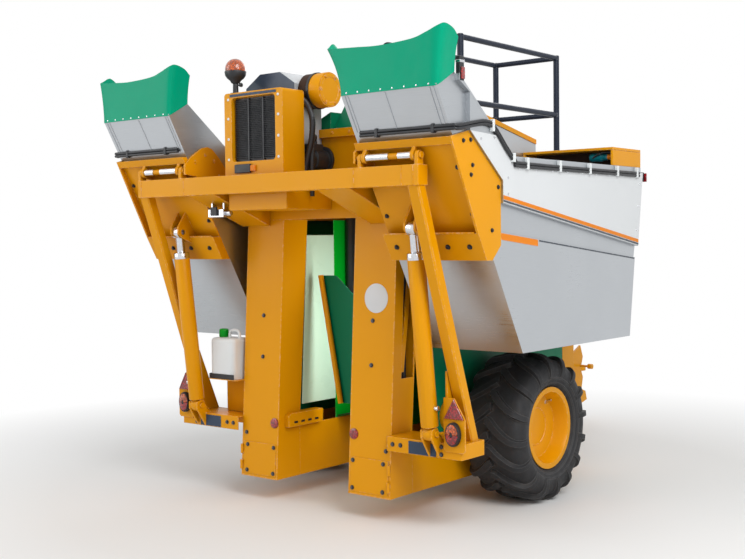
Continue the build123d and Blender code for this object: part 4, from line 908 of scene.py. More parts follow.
class HARVESTER_OT_lamps(bpy.types.Operator):
    """Tail lamps on their boards, and the triangles over them"""

    bl_idname = "harvester.lamps"
    bl_label = "Lamps"

    X, Z, REAR = 1.002, 0.534, -1.008
    WIDE, TALL = 0.0425, 0.0615

    def oval(self, profile, angle):
        """Ring of the oval lamp at an angle, from (share, depth) points."""
        out = Vector((self.WIDE * cos(angle), 0, self.TALL * sin(angle)))
        return [at(self.X, self.REAR - depth, self.Z) + out * share for share, depth in profile]

    def execute(self, context):
        x, rear = self.X, self.REAR
        for hand in HANDS:
            shell = Shape()
            # Rim with its floor, and the boss in the middle: share of the outline, depth
            for cup in (
                (
                    (0.02, 0.0), (1.0, 0.0), (1.0, 0.020), (0.95, 0.026), (0.88, 0.026), (0.86, 0.012),
                    (0.02, 0.012),
                ),
                ((0.02, 0.010), (0.20, 0.010), (0.20, 0.030), (0.16, 0.032), (0.02, 0.032)),
            ):
                shell.loft([self.oval(cup, tau * k / 48) for k in range(48)], closed=True)
            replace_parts(shell.sided("lamp_shell", hand, "black_plastic"), "tail_lamps")
            glass = ((0.22, 0.012), (0.22, 0.032), (0.55, 0.031), (0.85, 0.027), (0.85, 0.012))
            for name, slot, start in (("indicator", "amber_lens", 0.04), ("tail", "red_lens", pi + 0.04)):
                rings = [self.oval(glass, start + (pi - 0.08) * step / 16) for step in range(17)]
                Shape().loft(rings).sided(name + "_lens", hand, slot)
            board = Shape().prism(
                [at(x + across, rear + 0.008, high) for across, high in (
                    (-0.066, 0.452), (-0.054, 0.440), (0.054, 0.440), (0.066, 0.452), (0.066, 0.610),
                    (0.0, 0.716), (-0.066, 0.716),
                )], (0, -0.0079, 0),
            )
            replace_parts(board.sided("lamp_board", hand, "paint_yellow", rounded=0.0015), "lamp_boards")
            triangle = Shape()
            corners = ((x - 0.060, 0.610), (x + 0.060, 0.610), (x, 0.714))
            middle = Vector((x, 0.6446))
            rings = []
            for depth, share in (
                (0.0, 0.99), (0.006, 0.99), (0.008, 0.94), (0.008, 0.72), (0.0062, 0.70), (0.0062, 0.05),
            ):
                rings.append([
                    at(middle.x + (cx - middle.x) * share, rear - depth, middle.y + (cz - middle.y) * share)
                    for cx, cz in corners
                ])
            plate = triangle.loft(rings).sided("triangle", hand, "red_lens")
            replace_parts(plate, "reflectors")
        return {"FINISHED"}


class HARVESTER_OT_beacon(bpy.types.Operator):
    """Amber beacon on its black cup and stem"""

    bl_idname = "harvester.beacon"
    bl_label = "Beacon"

    def execute(self, context):
        low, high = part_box("beacon_base")
        foot = Vector(((low.x + high.x) / 2, (low.y + high.y) / 2, low.z))
        up = (0, 0, 1)
        stem = Shape().knob(
            [(0, 0.030), (0.008, 0.030), (0.010, 0.016), (0.060, 0.015), (0.064, 0.024), (0.076, 0.030),
             (0.090, 0.047), (0.104, 0.057), (0.124, 0.061), (0.128, 0.060)], foot, up, 40,
        )
        stem.tube([foot + Vector((0.012, 0, 0.05)), foot + Vector((0.036, 0, 0.05))], 0.005, 10)
        stem.knob(
            [(0, 0.010), (0.012, 0.012), (0.016, 0.008)], foot + Vector((0.034, 0, 0.05)), (1, 0, 0), 16,
        )
        base = stem.make("beacon_stem", "black_plastic")
        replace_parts(base, "beacon_base")
        globe = [(0.126, 0), (0.126, 0.056)]
        for step in range(13):
            angle = radians(-10 + 100 * step / 12)
            globe.append((0.140 + 0.059 * sin(angle), 0.058 * cos(angle)))
        dome = Shape().turned(globe, foot, up, 48).make("beacon_globe", "amber_lens")
        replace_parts(dome, "beacon_dome")
        return {"FINISHED"}


class HARVESTER_OT_bin_trim(bpy.types.Operator):
    """Conduits, covers, marker lamps, rails and edge strips of the bins"""

    bl_idname = "harvester.bin_trim"
    bl_label = "Bin trim"

    def execute(self, context):
        for hand in HANDS:
            body = "bin_" + hand
            self.conduit(hand, body)
            Shape().slab(
                ((-1.276, 2.2955), (-0.811, 1.9298), (-0.811, 1.9005), (-1.189, 2.2150), (-1.276, 2.2650)),
                1.2075, BIN_SIDE
            ).sided("slope_rail", hand, "bin_steel", body, 0.0015)
            plate = Shape().slab(
                (
                    (-1.325, 1.900), (-1.325, 1.955), (-1.268, 2.009), (-1.196, 2.055), (-1.150, 2.066),
                    (-1.115, 2.056), (-1.066, 2.013), (-0.972, 1.905), (-1.050, 1.800), (-1.230, 1.800),
                    (-1.238, 1.893),
                ), 0.6232, 0.6350,
            )
            for f, z in ((-1.245, 1.975), (-1.165, 2.020), (-1.100, 1.985), (-1.060, 1.900)):
                plate.bolt(at(0.6232, f, z), (-1, 0, 0), 0.013)
            plate.sided("inner_plate", hand, "paint_yellow", body, 0.002)
            folds = Shape()
            for x in (0.656, 0.674, 0.905, 1.168, 1.190):
                ends = [at(x, wall(z) - 0.0005, z) for z in (2.055, 2.222)]
                folds.tube(ends, 0.0035, 8)
            folds.sided("spout_folds", hand, "bin_steel", body)
            holder = Shape().box(at(1.2125, -1.274, 2.262), at(1.238, -1.238, 2.378))
            holder.box(at(1.2125, 0.655, 1.850), at(1.228, 0.690, 1.905))
            holder.sided("marker_holder", hand, "black_plastic", body, 0.004)
            Shape().box(
                at(1.2125, -1.2765, 2.346), at(1.2405, -1.2355, 2.360),
            ).sided("marker_cap", hand, "steel_rod", body, 0.003)
            lens = Shape().box(at(1.238, -1.270, 2.270), at(1.246, -1.242, 2.326))
            lens.box(at(1.216, 0.690, 1.848), at(1.240, 0.702, 1.900))
            lens.sided("marker_lens", hand, "red_lens", body, 0.003)
            self.cover(hand, body)
        self.inner_side()
        return {"FINISHED"}

    def inner_side(self):
        """Raised sheet on the right bin's inner side, with a painted strip along its edge."""
        sheet = (
            (-1.300, 2.285), (-1.290, 2.322), (-0.600, 2.322),
            (0.420, 2.121), (0.420, 1.900), (-0.815, 1.900),
        )
        Shape().slab(sheet, 0.6300, 0.6349).make("inner_side_right", "bin_steel", "bin_right", 0.001)
        strip = (
            (-1.290, 2.324), (-0.600, 2.324), (0.420, 2.123),
            (0.420, 2.094), (-0.604, 2.296), (-1.290, 2.296),
        )
        Shape().slab(strip, 0.6262, 0.6405).make("edge_strip_right", "paint_yellow", "bin_right", 0.002)

    def conduit(self, hand, body):
        """Conduit clipped over the console, past its side plate and along the side rail."""
        rear, side = wall(2.035) - 0.0105, 1.2447
        route = smooth_line([
            at(0.675, rear, 2.035), at(0.95, rear, 2.035), at(1.205, rear, 2.035),
            at(1.236, rear + 0.009, 2.035), at(side, rear + 0.040, 2.036), at(side, -1.16, 2.060),
            at(side, -1.06, 2.072), at(side, -0.99, 2.050), at(side, -0.89, 1.962), at(side, -0.80, 1.894),
            at(side, -0.74, 1.882), at(side, 0.0, 1.880), at(side, 0.583, 1.880),
        ], 6)
        harness = Shape()
        for rise in (0.0, 0.0155):
            harness.tube(
                [point + Vector((0, 0, rise)) for point in route],
                lambda t: 0.0080 + 0.0005 * cos(tau * 150 * t), 14,
            )
        harness.sided("bin_conduit", hand, "hose_black", body)
        clips = Shape()
        for f in (-0.69, -0.36, -0.03, 0.30, 0.55):
            clips.box(at(BIN_SIDE, f - 0.011, 1.868), at(CLIP_SIDE, f + 0.011, 1.928))
        clips.box(at(BIN_SIDE, -1.02, 2.040), at(CLIP_SIDE, -1.00, 2.098))
        clips.box(at(BIN_SIDE, -0.835, 1.900), at(CLIP_SIDE, -0.81, 1.945))
        clips.sided("conduit_clips", hand, "white_plastic", body, 0.002)
        bands = Shape()
        for x in (0.78, 1.12):
            bands.box(at(x - 0.009, rear - 0.0105, 2.021), at(x + 0.009, rear + 0.014, 2.062))
        bands.sided("conduit_bands", hand, "black_plastic", body, 0.002)

    def cover(self, hand, body):
        """Auger cover closed on top, a dark box painted as the shade inside it, the motor and its cable."""
        lid = Shape().box(at(0.635, 0.268, 2.020), at(1.236, 0.623, 2.036))
        for x in (0.635, 1.220):
            lid.box(at(x, 0.268, 1.930), at(x + 0.016, 0.623, 2.020))
        lid.box(at(0.651, 0.607, 1.930), at(1.220, 0.623, 2.020))
        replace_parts(lid.sided("auger_cover", hand, "paint_yellow", body, 0.003), "tray_" + hand)
        # Painted shade: a dark box fills the cover where its inside lies in shade
        Shape().box(
            at(0.652, 0.40, 1.932), at(1.219, 0.604, 2.019),
        ).sided("cover_shade_box", hand, "painted_shade", body)
        Shape().knob(
            [(0, 0.022), (0.012, 0.026), (0.075, 0.026), (0.080, 0.020), (0.108, 0.020), (0.112, 0.016)],
            at(1.065, 0.325, 1.984), (1, 0, 0), 28,
        ).sided("auger_motor", hand, "teal_paint", body)
        Shape().knob(
            [(0, 0.017), (0.024, 0.017), (0.028, 0.012)], at(1.177, 0.325, 1.984), (1, 0, 0), 20,
        ).sided("motor_plug", hand, "stripe_orange", body)
        Shape().tube(
            smooth_line([
                at(1.203, 0.325, 1.984), at(1.212, 0.315, 1.994), at(1.200, 0.300, 2.008),
                at(1.150, 0.296, 2.006), at(1.100, 0.300, 1.985), at(1.060, 0.330, 1.960),
                at(1.030, 0.40, 1.955),
            ], 5), 0.006, 10,
        ).sided("motor_cable", hand, "hose_black", body)


def wall(z):
    """Bins' rear wall at a height, forward of the axle."""
    share = (z - BIN_FOOT[1]) / (SPOUT[1] - BIN_FOOT[1])
    return BIN_FOOT[0] + (SPOUT[0] - BIN_FOOT[0]) * share


def column(z):
    """Columns' rear face at a height, forward of the axle."""
    return COLUMN_FOOT[0] + COLUMN_LEAN * (z - COLUMN_FOOT[1])


class HARVESTER_OT_console_fittings(bpy.types.Operator):
    """Bolts, hinge sleeves and weld beads of the bins' consoles"""

    bl_idname = "harvester.console_fittings"
    bl_label = "Console fittings"

    def execute(self, context):
        for hand in HANDS:
            body = "bin_" + hand
            bolts = Shape()
            for f, z in (
                (-1.171, 1.992), (-1.156, 1.872), (-1.169, 1.826), (-0.932, 1.773), (-0.99, 1.56),
                (-1.232, 1.985),
            ):
                bolts.bolt(at(1.2242, f, z), (1, 0, 0), 0.014)
            for x in (0.700, 0.860, 1.020, 1.150):
                bolts.bolt(at(x, wall(1.48) - 0.0635, 1.48), (0, -1, -0.5556), 0.018)
            for x in (0.665, 1.190):
                for z in (1.64, 1.86):
                    bolts.bolt(at(x, wall(z) - 0.0095, z), (0, -1, -0.5556), 0.016)
            bolts.sided("console_bolts", hand, "black_plastic", body)
            sleeve = Shape()
            for start, end in ((0.702, 0.842), (0.902, 1.000)):
                sleeve.turned(
                    [(0, 0.0161), (0, 0.021), (end - start, 0.021), (end - start, 0.0161)],
                    at(start, HINGE.y - AXLE.y, HINGE.z), (1, 0, 0), 28,
                )
            sleeve.sided("hinge_sleeve", hand, "steel_rod", body)
            weld = Shape()
            weld.tube(
                [at(0.648, wall(1.548) - 0.064, 1.548), at(1.200, wall(1.548) - 0.064, 1.548)], 0.004, 8,
            )
            weld.sided("console_bead", hand, "paint_yellow", body)
        return {"FINISHED"}


class HARVESTER_OT_column_fittings(bpy.types.Operator):
    """Rear columns and beam, with hatches, bolts, disc, valve and window insides"""

    bl_idname = "harvester.column_fittings"
    bl_label = "Column fittings"

    def execute(self, context):
        lean = (0, -1, COLUMN_LEAN)
        for hand in HANDS:
            hatch = Shape().prism(
                [
                    at(x, column(z) + 0.0005, z)
                    for x, z in ((0.284, 0.150), (0.546, 0.150), (0.546, 0.336), (0.284, 0.336))
                ],
                (0, -0.004, 0),
            )
            for middle, low, high in ((0.19, 0.17, 0.225), (0.29, 0.262, 0.317)):
                hatch.tube([at(0.553, column(middle) - 0.008, z) for z in (low, high)], 0.009, 14)
            hatch.sided("column_hatch", hand, "paint_yellow", rounded=0.0015)
            bolts = Shape()
            for x, z in (
                (0.411, 1.081), (0.409, 0.840), (0.525, 0.388), (0.300, 0.168), (0.511, 0.168),
                (0.300, 0.318), (0.511, 0.318),
            ):
                bolts.bolt(at(x, column(z) - (0.0035 if z < 0.33 else 0.0), z), lean, 0.016)
            for x, z in ((0.600, 0.44), (0.652, 0.44), (0.915, 0.42), (0.915, 0.46)):
                bolts.bolt(at(x, -1.0, z), (0, -1, 0), 0.016)
            bolts.sided("column_bolts", hand, "cast_grey")
            Shape().box(at(0.706, -1.0025, 0.404), at(0.882, -1.0, 0.470)).sided(
                "bracket_panel", hand, "slate_paint", rounded=0.001,
            )
            self.shell(hand)
            self.window(hand)
        self.beam()
        valve = Shape().box(at(-0.530, -1.240, 1.655), at(-0.405, -1.180, 1.700))
        for x in (-0.520, -0.425):
            valve.box(at(x, -1.225, 1.700), at(x + 0.012, -1.190, 1.736))
        valve.knob([(0, 0.016), (0.030, 0.016), (0.034, 0.012)], at(-0.405, -1.210, 1.678), (1, 0, 0), 20)
        valve.make("valve_block", "steel_rod", rounded=0.002)
        Shape().box(
            at(-0.500, -1.252, 1.664), at(-0.450, -1.240, 1.712),
        ).make("valve_coil", "black_plastic", rounded=0.003)
        Shape().knob(
            [(0, 0.080), (0.0015, 0.080), (0.002, 0.079)], at(0.431, column(1.203), 1.203), lean, 48
        ).make("blank_disc", "bin_white")
        beads = Shape()
        for x in (-1.0, -0.63, 0.63, 0.93, 1.0):
            beads.tube([at(x, -1.3322, 1.784), at(x, -1.3322, 1.876)], 0.0028, 8)
        for x in (-0.598, -0.382, 0.382, 0.598):
            beads.tube([at(x, -1.3322, 1.782), at(x, column(1.607) - 0.002, 1.607)], 0.004, 8)
        beads.make("beam_beads", "paint_yellow")
        return {"FINISHED"}

    def beam(self):
        """Rear beam with its knee boxes and the bins' hinge ears."""
        made = Shape().box(at(-1.030, -1.332, 1.779), at(1.030, -1.252, 1.880))
        knee = (
            (-1.332, 1.779), (column(1.605), 1.605), (column(1.640), 1.640), (column(1.640), 1.760),
            (-1.252, 1.860), (-1.252, 1.779),
        )
        for x in (-0.600, 0.380):
            made.slab(knee, x, x + 0.220)
        forward = HINGE.y - AXLE.y
        for x in (-1.028, -0.675, 0.655, 1.008):
            rings = []
            for k in range(48):
                f, z = cos(tau * k / 48), sin(tau * k / 48)
                out = (forward + 0.023 * f, (HINGE.z if z > -0.01 else 1.866) + 0.023 * z)
                hole = (forward + 0.0165 * f, HINGE.z + 0.0165 * z)
                rings.append([at(x, *out), at(x, *hole), at(x + 0.020, *hole), at(x + 0.020, *out)])
            made.loft(rings, closed=True)
        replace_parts(made.make("rear_beam_box", "paint_yellow", rounded=0.003), "rear_beam")

    def shell(self, hand):
        """Leaning column of folded sheet with a service window in its outer side."""
        low, high, gauge = COLUMN_FOOT[1], 1.640, 0.005
        front = column(low) + 0.200
        outline = (
            (column(low), low), (column(high), high), (column(high) + 0.200, high), (front, 0.430),
            (front, low),
        )
        edge = (
            (column(0.770) + 0.072, 0.770), (column(1.390) + 0.072, 1.390), (column(1.390) + 0.176, 1.390),
            (column(0.770) + 0.176, 0.770), (column(0.770) + 0.124, 0.770),
        )
        made = Shape().slab(outline, 0.270, 0.270 + gauge)
        made.loft([
            [at(0.555, *out), at(0.555, *hole), at(0.560, *hole), at(0.560, *out)]
            for out, hole in zip(outline, edge)
        ], closed=True)
        for a, b in ((0, 1), (2, 3), (3, 4), (4, 0)):
            inward = {0: (gauge, 0), 2: (-gauge, 0), 3: (-gauge, 0), 4: (0, gauge)}[a]
            strip = (
                outline[a], outline[b],
                *((f + inward[0], z + inward[1]) for f, z in (outline[b], outline[a])),
            )
            made.slab(strip, 0.270 + gauge, 0.555)
        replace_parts(made.sided("rear_column", hand, "paint_yellow"), "rear_columns")

    def window(self, hand):
        """Hoses behind the column's service window, before a black plate painted as the shade inside the column.
        """
        # Painted shade: the black plate stands for the shaded inside of the hollow column; the tubes are its hoses
        back = Shape().slab(
            [(column(z) + f, z) for f, z in ((0.03, 0.75), (0.03, 1.41), (0.185, 1.41), (0.185, 0.75))],
            0.470, 0.476,
        )
        heights = (0.75, 0.86, 0.98, 1.10, 1.22, 1.34, 1.41)
        for f, radius in ((0.095, 0.014), (0.125, 0.010), (0.150, 0.016)):
            line = [at(0.505, column(z) + f + 0.012 * sin(z * 9 + f * 50), z) for z in heights]
            back.tube(smooth_line(line, 4), radius, 12)
        back.sided("window_back", hand, "black_plastic")
        Shape().slab(
            [(column(z) + f, z) for f, z in ((0.085, 0.80), (0.120, 0.80), (0.172, 1.36), (0.137, 1.36))],
            0.530, 0.540,
        ).sided("window_brace", hand, "paint_yellow", rounded=0.002)


class HARVESTER_OT_top_fittings(bpy.types.Operator):
    """Fittings of the roof, fan drum and cooler, work lamp and guard rail"""

    bl_idname = "harvester.top_fittings"
    bl_label = "Roof fittings"

    def execute(self, context):
        low, high = (Vector(corner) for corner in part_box("fan_drum"))
        middle = Vector((low.x, (low.y + high.y) / 2, (low.z + high.z) / 2))
        # Painted shade: the sleeve darkens the drum's left end, which lies in shade
        for name, slot, start, end, radius, rounded in (
            ("drum_shade_sleeve", "painted_shade", 0.002, 0.060, 0.0968, 0.0),
            ("drum_band", "black_plastic", 0.060, 0.076, 0.1005, 0.0015),
        ):
            ring = [(start, 0.094), (start, radius), (end, radius), (end, 0.094)]
            Shape().turned(ring, middle, (1, 0, 0), 56).make(name, slot, rounded=rounded)
        face = Shape().knob(
            [(0.1495, 0.088), (0.153, 0.088), (0.153, 0.070), (0.151, 0.068)], middle, (1, 0, 0), 48
        )
        for k in range(6):
            spot = middle + Vector((0.1525, 0.079 * cos(tau * k / 6), 0.079 * sin(tau * k / 6)))
            face.bolt(spot, (1, 0, 0), 0.012)
        face.make("drum_cover", "paint_yellow")
        grille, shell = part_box("cooler_grille"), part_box("cooler_housing")
        rear = shell[0].y
        Shape().box(
            (grille[0].x - 0.010, rear - 0.003, grille[1].z + 0.006),
            (grille[1].x + 0.010, rear, grille[1].z + 0.020),
        ).make("cooler_strip", "slate_paint", rounded=0.001)
        screws = Shape()
        for x in (grille[0].x - 0.024, grille[1].x + 0.024):
            for share in (0.04, 0.36, 0.68, 0.98):
                spot = (x, rear, grille[0].z + (grille[1].z - grille[0].z) * share)
                screws.turned([(0, 0), (0, 0.008), (0.003, 0.007), (0.004, 0)], spot, (0, -1, 0), 14)
        screws.make("cooler_screws", "white_plastic")
        Shape().box(
            (grille[0].x + 0.03, rear - 0.014, shell[0].z + 0.012),
            (grille[0].x + 0.15, rear, shell[0].z + 0.060),
        ).make("cooler_plug", "black_plastic", rounded=0.004)
        Shape().box(
            (grille[0].x + 0.15, rear - 0.012, shell[0].z + 0.020),
            (grille[0].x + 0.185, rear, shell[0].z + 0.052),
        ).make("cooler_connector", "stripe_orange", rounded=0.003)
        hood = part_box("top_hood")
        route = [at(x, -1.09, z) for x, z in (
            (hood[1].x - 0.005, 2.300), (0.075, 2.286), (0.117, 2.241), (0.142, 2.170), (0.134, 2.061),
            (0.100, 1.950), (0.084, 1.879),
        )]
        Shape().tube(
            smooth_line(route, 14), lambda t: 0.016 + 0.0012 * cos(tau * 40 * t), 18,
        ).make("hood_hose", "hose_black")
        self.drive()
        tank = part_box("oil_tank")
        Shape().knob(
            [(0, 0.050), (0.012, 0.050), (0.014, 0.042), (0.040, 0.042), (0.046, 0.036)],
            (tank[1].x - 0.14, tank[1].y - 0.14, tank[1].z), (0, 0, 1), 32,
        ).make("tank_cap", "black_plastic")
        bars = Shape()
        for step in range(14):
            x = -0.24 + 0.48 * step / 13
            bars.box(at(x - 0.005, 1.03, 1.7598), at(x + 0.005, 1.28, 1.7635))
        bars.make("platform_tread", "paint_yellow", rounded=0.001)
        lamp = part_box("work_lamp")
        spot = Vector(((lamp[0].x + lamp[1].x) / 2, lamp[1].y - 0.030, lamp[1].z - 0.060))
        down = Vector((0, -0.92, -0.39))
        dish = Shape().turned(
            [
                (-0.020, 0), (-0.020, 0.020), (-0.012, 0.036), (0.010, 0.050), (0.028, 0.056),
                (0.034, 0.056), (0.034, 0.052), (0.026, 0.050), (0.024, 0),
            ], spot, down, 40,
        )
        dish.box(spot + Vector((-0.012, 0, -0.014)), (spot.x + 0.012, lamp[1].y + 0.004, spot.z + 0.014))
        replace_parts(dish.make("work_lamp_dish", "dark_paint"), "work_lamp")
        Shape().turned(
            [(0.0235, 0), (0.0235, 0.050), (0.027, 0.049), (0.030, 0.030), (0.031, 0)], spot, down, 32,
        ).make("work_lamp_glass", "slate_paint")
        rail = Shape()
        half, ends, levels = 0.250, (0.170, 1.350), (2.375, 2.770)
        post = [
            (0, 0.046), (0.008, 0.046), (0.010, 0.027), (0.258, 0.027), (0.262, 0.0205), (1.024, 0.0205),
            (1.028, 0.017),
        ]
        for x in (-half, half):
            for f in ends:
                rail.knob(post, at(x, f, DECK), (0, 0, 1), 28)
            for z in levels:
                rail.tube([at(x, f, z) for f in ends], 0.018, 20)
        for z in levels:
            rail.tube([at(-half, ends[1], z), at(half, ends[1], z)], 0.018, 20)
        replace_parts(rail.make("platform_rail", "dark_paint"), "guard_rail")
        return {"FINISHED"}

    def drive(self):
        """Motor, pipes and flange on the cross conveyor's rear."""
        cover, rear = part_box("conveyor_cover"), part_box("cross_conveyor")[0].y
        Shape().prism(
            [
                (x, rear + 0.002, z)
                for x, z in (
                    (-0.150, 2.101), (-0.045, 2.146), (0.029, 2.204), (0.0958, 2.234), (0.0958, 2.101),
                )
            ],
            (0, 0.260, 0),
        ).make("cover_wing", "green_sheet", rounded=0.003)
        flange = Shape().box((-0.160, rear - 0.024, 2.090), (cover[1].x, rear, 2.136))
        for step in range(6):
            flange.bolt((-0.12 + 0.62 * step / 5, rear - 0.024, 2.113), (0, -1, 0), 0.010)
        flange.make("conveyor_flange", "paint_yellow", rounded=0.002)
        spot = Vector((0.045, rear, 1.965))
        motor = Shape().knob(
            [
                (0, 0.078), (0.016, 0.078), (0.020, 0.060), (0.110, 0.060), (0.116, 0.052), (0.160, 0.052),
                (0.166, 0.044),
            ],
            spot, (0, -1, 0), 32,
        )
        motor.box(spot + Vector((-0.040, -0.150, 0.045)), spot + Vector((0.040, -0.050, 0.085)))
        pipe = (
            (1, -0.10, 0.080), (1, -0.102, 0.108), (2, -0.125, 0.124), (3, -0.165, 0.105),
            (3.6, -0.185, 0.040), (3.6, -0.190, -0.080), (3.6, -0.190, -0.206),
        )
        for side in (-0.022, 0.022):
            motor.tube(smooth_line([spot + Vector((side * x, y, z)) for x, y, z in pipe], 6), 0.013, 14)
        motor.make("conveyor_motors", "black_plastic", rounded=0.002)


class HARVESTER_OT_low_fittings(bpy.types.Operator):
    """Fittings of can, tunnel, wheels, lift cylinders and drawbar, and the struts"""

    bl_idname = "harvester.low_fittings"
    bl_label = "Low fittings"

    def execute(self, context):
        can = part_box("water_can")
        top = can[0].z + 0.245
        spot = Vector((can[0].x + 0.050, (can[0].y + can[1].y) / 2, top))
        Shape().knob(
            [(0, 0.027), (0.008, 0.029), (0.044, 0.028), (0.050, 0.022)], spot, (0, 0, 1), 24,
        ).make("can_cap", "bright_green")
        grip = smooth_line([
            (can[0].x + 0.100, spot.y, top - 0.006), (can[0].x + 0.104, spot.y, top + 0.030),
            (can[0].x + 0.125, spot.y, top + 0.043),
            (can[1].x - 0.040, spot.y, top + 0.043), (can[1].x - 0.020, spot.y, top + 0.028),
            (can[1].x - 0.018, spot.y, top - 0.010),
        ], 6)
        Shape().tube(grip, 0.009, 14).make("can_handle", "white_plastic")
        foot = Shape().box(
            (can[0].x - 0.004, can[0].y - 0.004, can[0].z), (can[1].x + 0.004, can[0].y, can[0].z + 0.030),
        )
        foot.box((can[0].x - 0.004, can[0].y, can[0].z), (can[0].x, can[1].y, can[0].z + 0.030))
        foot.make("can_foot", "black_plastic", rounded=0.002)
        Shape().slab(
            ((-0.906, 0.432), (-0.906, 0.500), (-0.880, 0.512), (-0.606, 0.512), (-0.606, 0.432)),
            -0.300, -0.236,
        ).make("roller_box", "paint_yellow", rounded=0.003)
        slots = Shape()
        for f in (-0.86, -0.80, -0.74, -0.68):
            slots.box(at(-0.2362, f, 0.452), at(-0.2352, f + 0.030, 0.464))
        slots.make("roller_box_slots", "black_plastic")
        discs = Shape()
        for x in (-0.300, 0.300):
            discs.knob(
                [(0, 0.030), (0.005, 0.029), (0.008, 0.020)], at(x, column(0.46), 0.46),
                (0, -1, COLUMN_LEAN), 28,
            )
        discs.make("round_reflectors", "red_lens")
        for hand in HANDS:
            self.wheel(hand)
            self.cylinder(hand)
            self.strut(hand)
        self.drawbar()
        return {"FINISHED"}

    def wheel(self, hand):
        """Valve with its bracket, and the weld round the hub."""
        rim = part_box("rim_right")
        centre = Vector((0, (rim[0].y + rim[1].y) / 2, (rim[0].z + rim[1].z) / 2))
        face = 0.805 + 0.070
        valve = Shape()
        valve.box(centre + Vector((face, 0.085, 0.120)), centre + Vector((face + 0.012, 0.125, 0.150)))
        valve.tube(
            [centre + Vector((face, 0.105, 0.135)), centre + Vector((face + 0.040, 0.110, 0.142))],
            0.006, 12,
        )
        valve.sided("wheel_valve", hand, "steel_rod", "wheel_" + hand, 0.002)
        Shape().turned(
            [(0, 0.104), (0.004, 0.107), (0.004, 0.111), (0, 0.114)],
            centre + Vector((face - 0.0005, 0, 0)),
            (1, 0, 0), 64
        ).sided("wheel_bead", hand, "paint_yellow", "wheel_" + hand)

    def cylinder(self, hand):
        """Gland and oil port of the lift cylinder."""
        foot, head = at(0.872, -1.035, 0.530), at(0.872, -1.158, 1.575)
        along = (head - foot).normalized()
        gland = Shape().turned(
            [(0, 0.0262), (0, 0.0468), (0.030, 0.0468), (0.034, 0.044), (0.034, 0.0262)],
            foot + along * 0.8955, along, 40
        )
        port = foot + along * 0.135
        gland.knob(
            [(0, 0.014), (0.018, 0.014), (0.020, 0.011)], port + Vector((0.044, 0, 0)), (1, 0, 0), 16,
        )
        gland.sided("cylinder_gland", hand, "steel_rod", "lift_barrel_" + hand)

    def strut(self, hand):
        """Rectangular strut from the bracket to the beam, with its gusset."""
        rings = []
        for f, z in ((-0.848, 0.480), (-1.292, 1.779)):
            rings.append([
                at(0.990 + x, f + y, z) for x, y in (
                    (-0.035, -0.024), (-0.027, -0.032), (0.027, -0.032), (0.035, -0.024),
                    (0.035, 0.024), (0.027, 0.032), (-0.027, 0.032), (-0.035, 0.024),
                )
            ])
        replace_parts(Shape().loft(rings).sided("strut", hand, "paint_yellow"), "struts")
        Shape().slab(
            ((-1.000, 0.480), (-1.000, 0.850), (-0.944, 0.850), (-0.790, 0.480)), 0.943, 0.9552,
        ).sided("strut_gusset", hand, "paint_yellow", rounded=0.002)

    def drawbar(self):
        """Bracket bolts, gearbox flanges and jack crank at the front."""
        bolts = Shape()
        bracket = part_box("drawbar_bracket")
        for x in (bracket[0].x + 0.022, bracket[0].x + 0.198):
            for z in (bracket[0].z + 0.022, bracket[1].z - 0.06):
                bolts.bolt((x, at(0, 1.032, 0).y, z), (0, 1, 0), 0.020)
        bolts.make("bracket_bolts", "cast_grey")
        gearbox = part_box("drive_gearbox")
        middle = (Vector(gearbox[0]) + Vector(gearbox[1])) / 2
        ends = Shape()
        for end, way in ((gearbox[0].y, -1), (gearbox[1].y, 1)):
            spot = Vector((middle.x, end, middle.z))
            ends.knob([(0, 0.075), (0.006, 0.073), (0.006, 0.040), (0.009, 0.038)], spot, (0, way, 0), 40)
            for k in range(6):
                out = Vector((0.058 * cos(tau * k / 6), way * 0.006, 0.058 * sin(tau * k / 6)))
                ends.bolt(spot + out, (0, way, 0), 0.006)
        ends.make("gearbox_flanges", "cast_grey", "drawbar")
        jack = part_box("jack_tube")
        top = Vector(((jack[0].x + jack[1].x) / 2, (jack[0].y + jack[1].y) / 2, jack[1].z))
        crank = Shape().knob(
            [(0, 0.024), (0.006, 0.024), (0.008, 0.010), (0.012, 0.010)], top, (0, 0, 1), 24,
        )
        crank.tube([top + Vector((0, 0, 0.006)), top + Vector((0, -0.055, 0.008))], 0.006, 12)
        crank.make("jack_crank", "steel_rod", "drawbar")


class HARVESTER_PT_panel(bpy.types.Panel):
    """The machine's pieces, in the order in which they are made"""

    bl_label = "Grape Harvester"
    bl_idname = "HARVESTER_PT_panel"
    bl_space_type = "VIEW_3D"
    bl_region_type = "UI"
    bl_category = "Harvester"

    def draw(self, context):
        for operator in OPERATORS:
            self.layout.operator(operator.bl_idname)
        for group in (
            context.scene.harvester_colours, context.scene.harvester_sizes, context.scene.harvester_stage,
        ):
            for key in group.bl_rna.properties.keys():
                if key not in ("rna_type", "name"):
                    self.layout.prop(group, key)


OPERATORS = (
    HARVESTER_OT_stage,
    HARVESTER_OT_finish_solids,
    HARVESTER_OT_tyres,
    HARVESTER_OT_lips,
    HARVESTER_OT_cooler_front,
    HARVESTER_OT_bin_panels,
    HARVESTER_OT_lamps,
    HARVESTER_OT_beacon,
    HARVESTER_OT_bin_trim,
    HARVESTER_OT_console_fittings,
    HARVESTER_OT_column_fittings,
    HARVESTER_OT_top_fittings,
    HARVESTER_OT_low_fittings,
)
GROUPS = (HarvesterColours, HarvesterSizes, HarvesterStage)
CLASSES = (*GROUPS, *OPERATORS, HARVESTER_PT_panel)


def register():
    for item in CLASSES:
        bpy.utils.register_class(item)
    bpy.types.Scene.harvester_colours = PointerProperty(type=HarvesterColours)
    bpy.types.Scene.harvester_sizes = PointerProperty(type=HarvesterSizes)
    bpy.types.Scene.harvester_stage = PointerProperty(type=HarvesterStage)


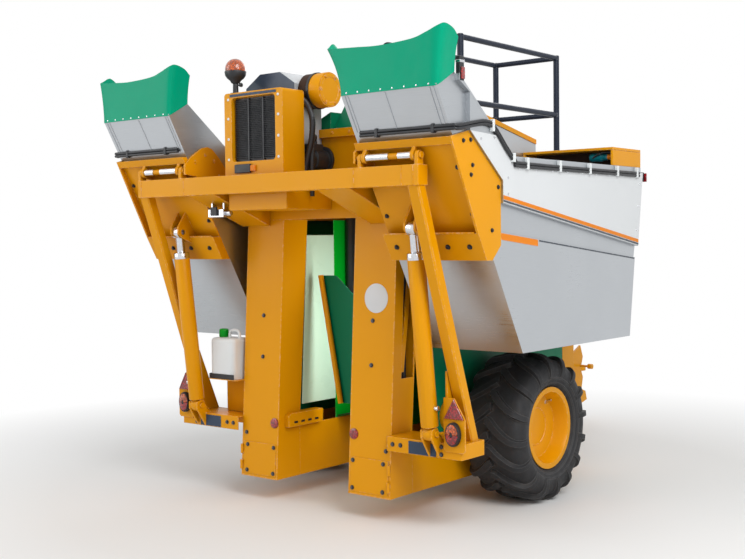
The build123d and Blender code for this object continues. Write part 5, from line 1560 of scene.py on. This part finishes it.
def unregister():
    for key in ("harvester_colours", "harvester_sizes", "harvester_stage"):
        delattr(bpy.types.Scene, key)
    for item in reversed(CLASSES):
        bpy.utils.unregister_class(item)


def main():
    register()
    for operator in OPERATORS:
        group, name = operator.bl_idname.split(".")
        getattr(getattr(bpy.ops, group), name)()


if __name__ == "__main__":
    main()
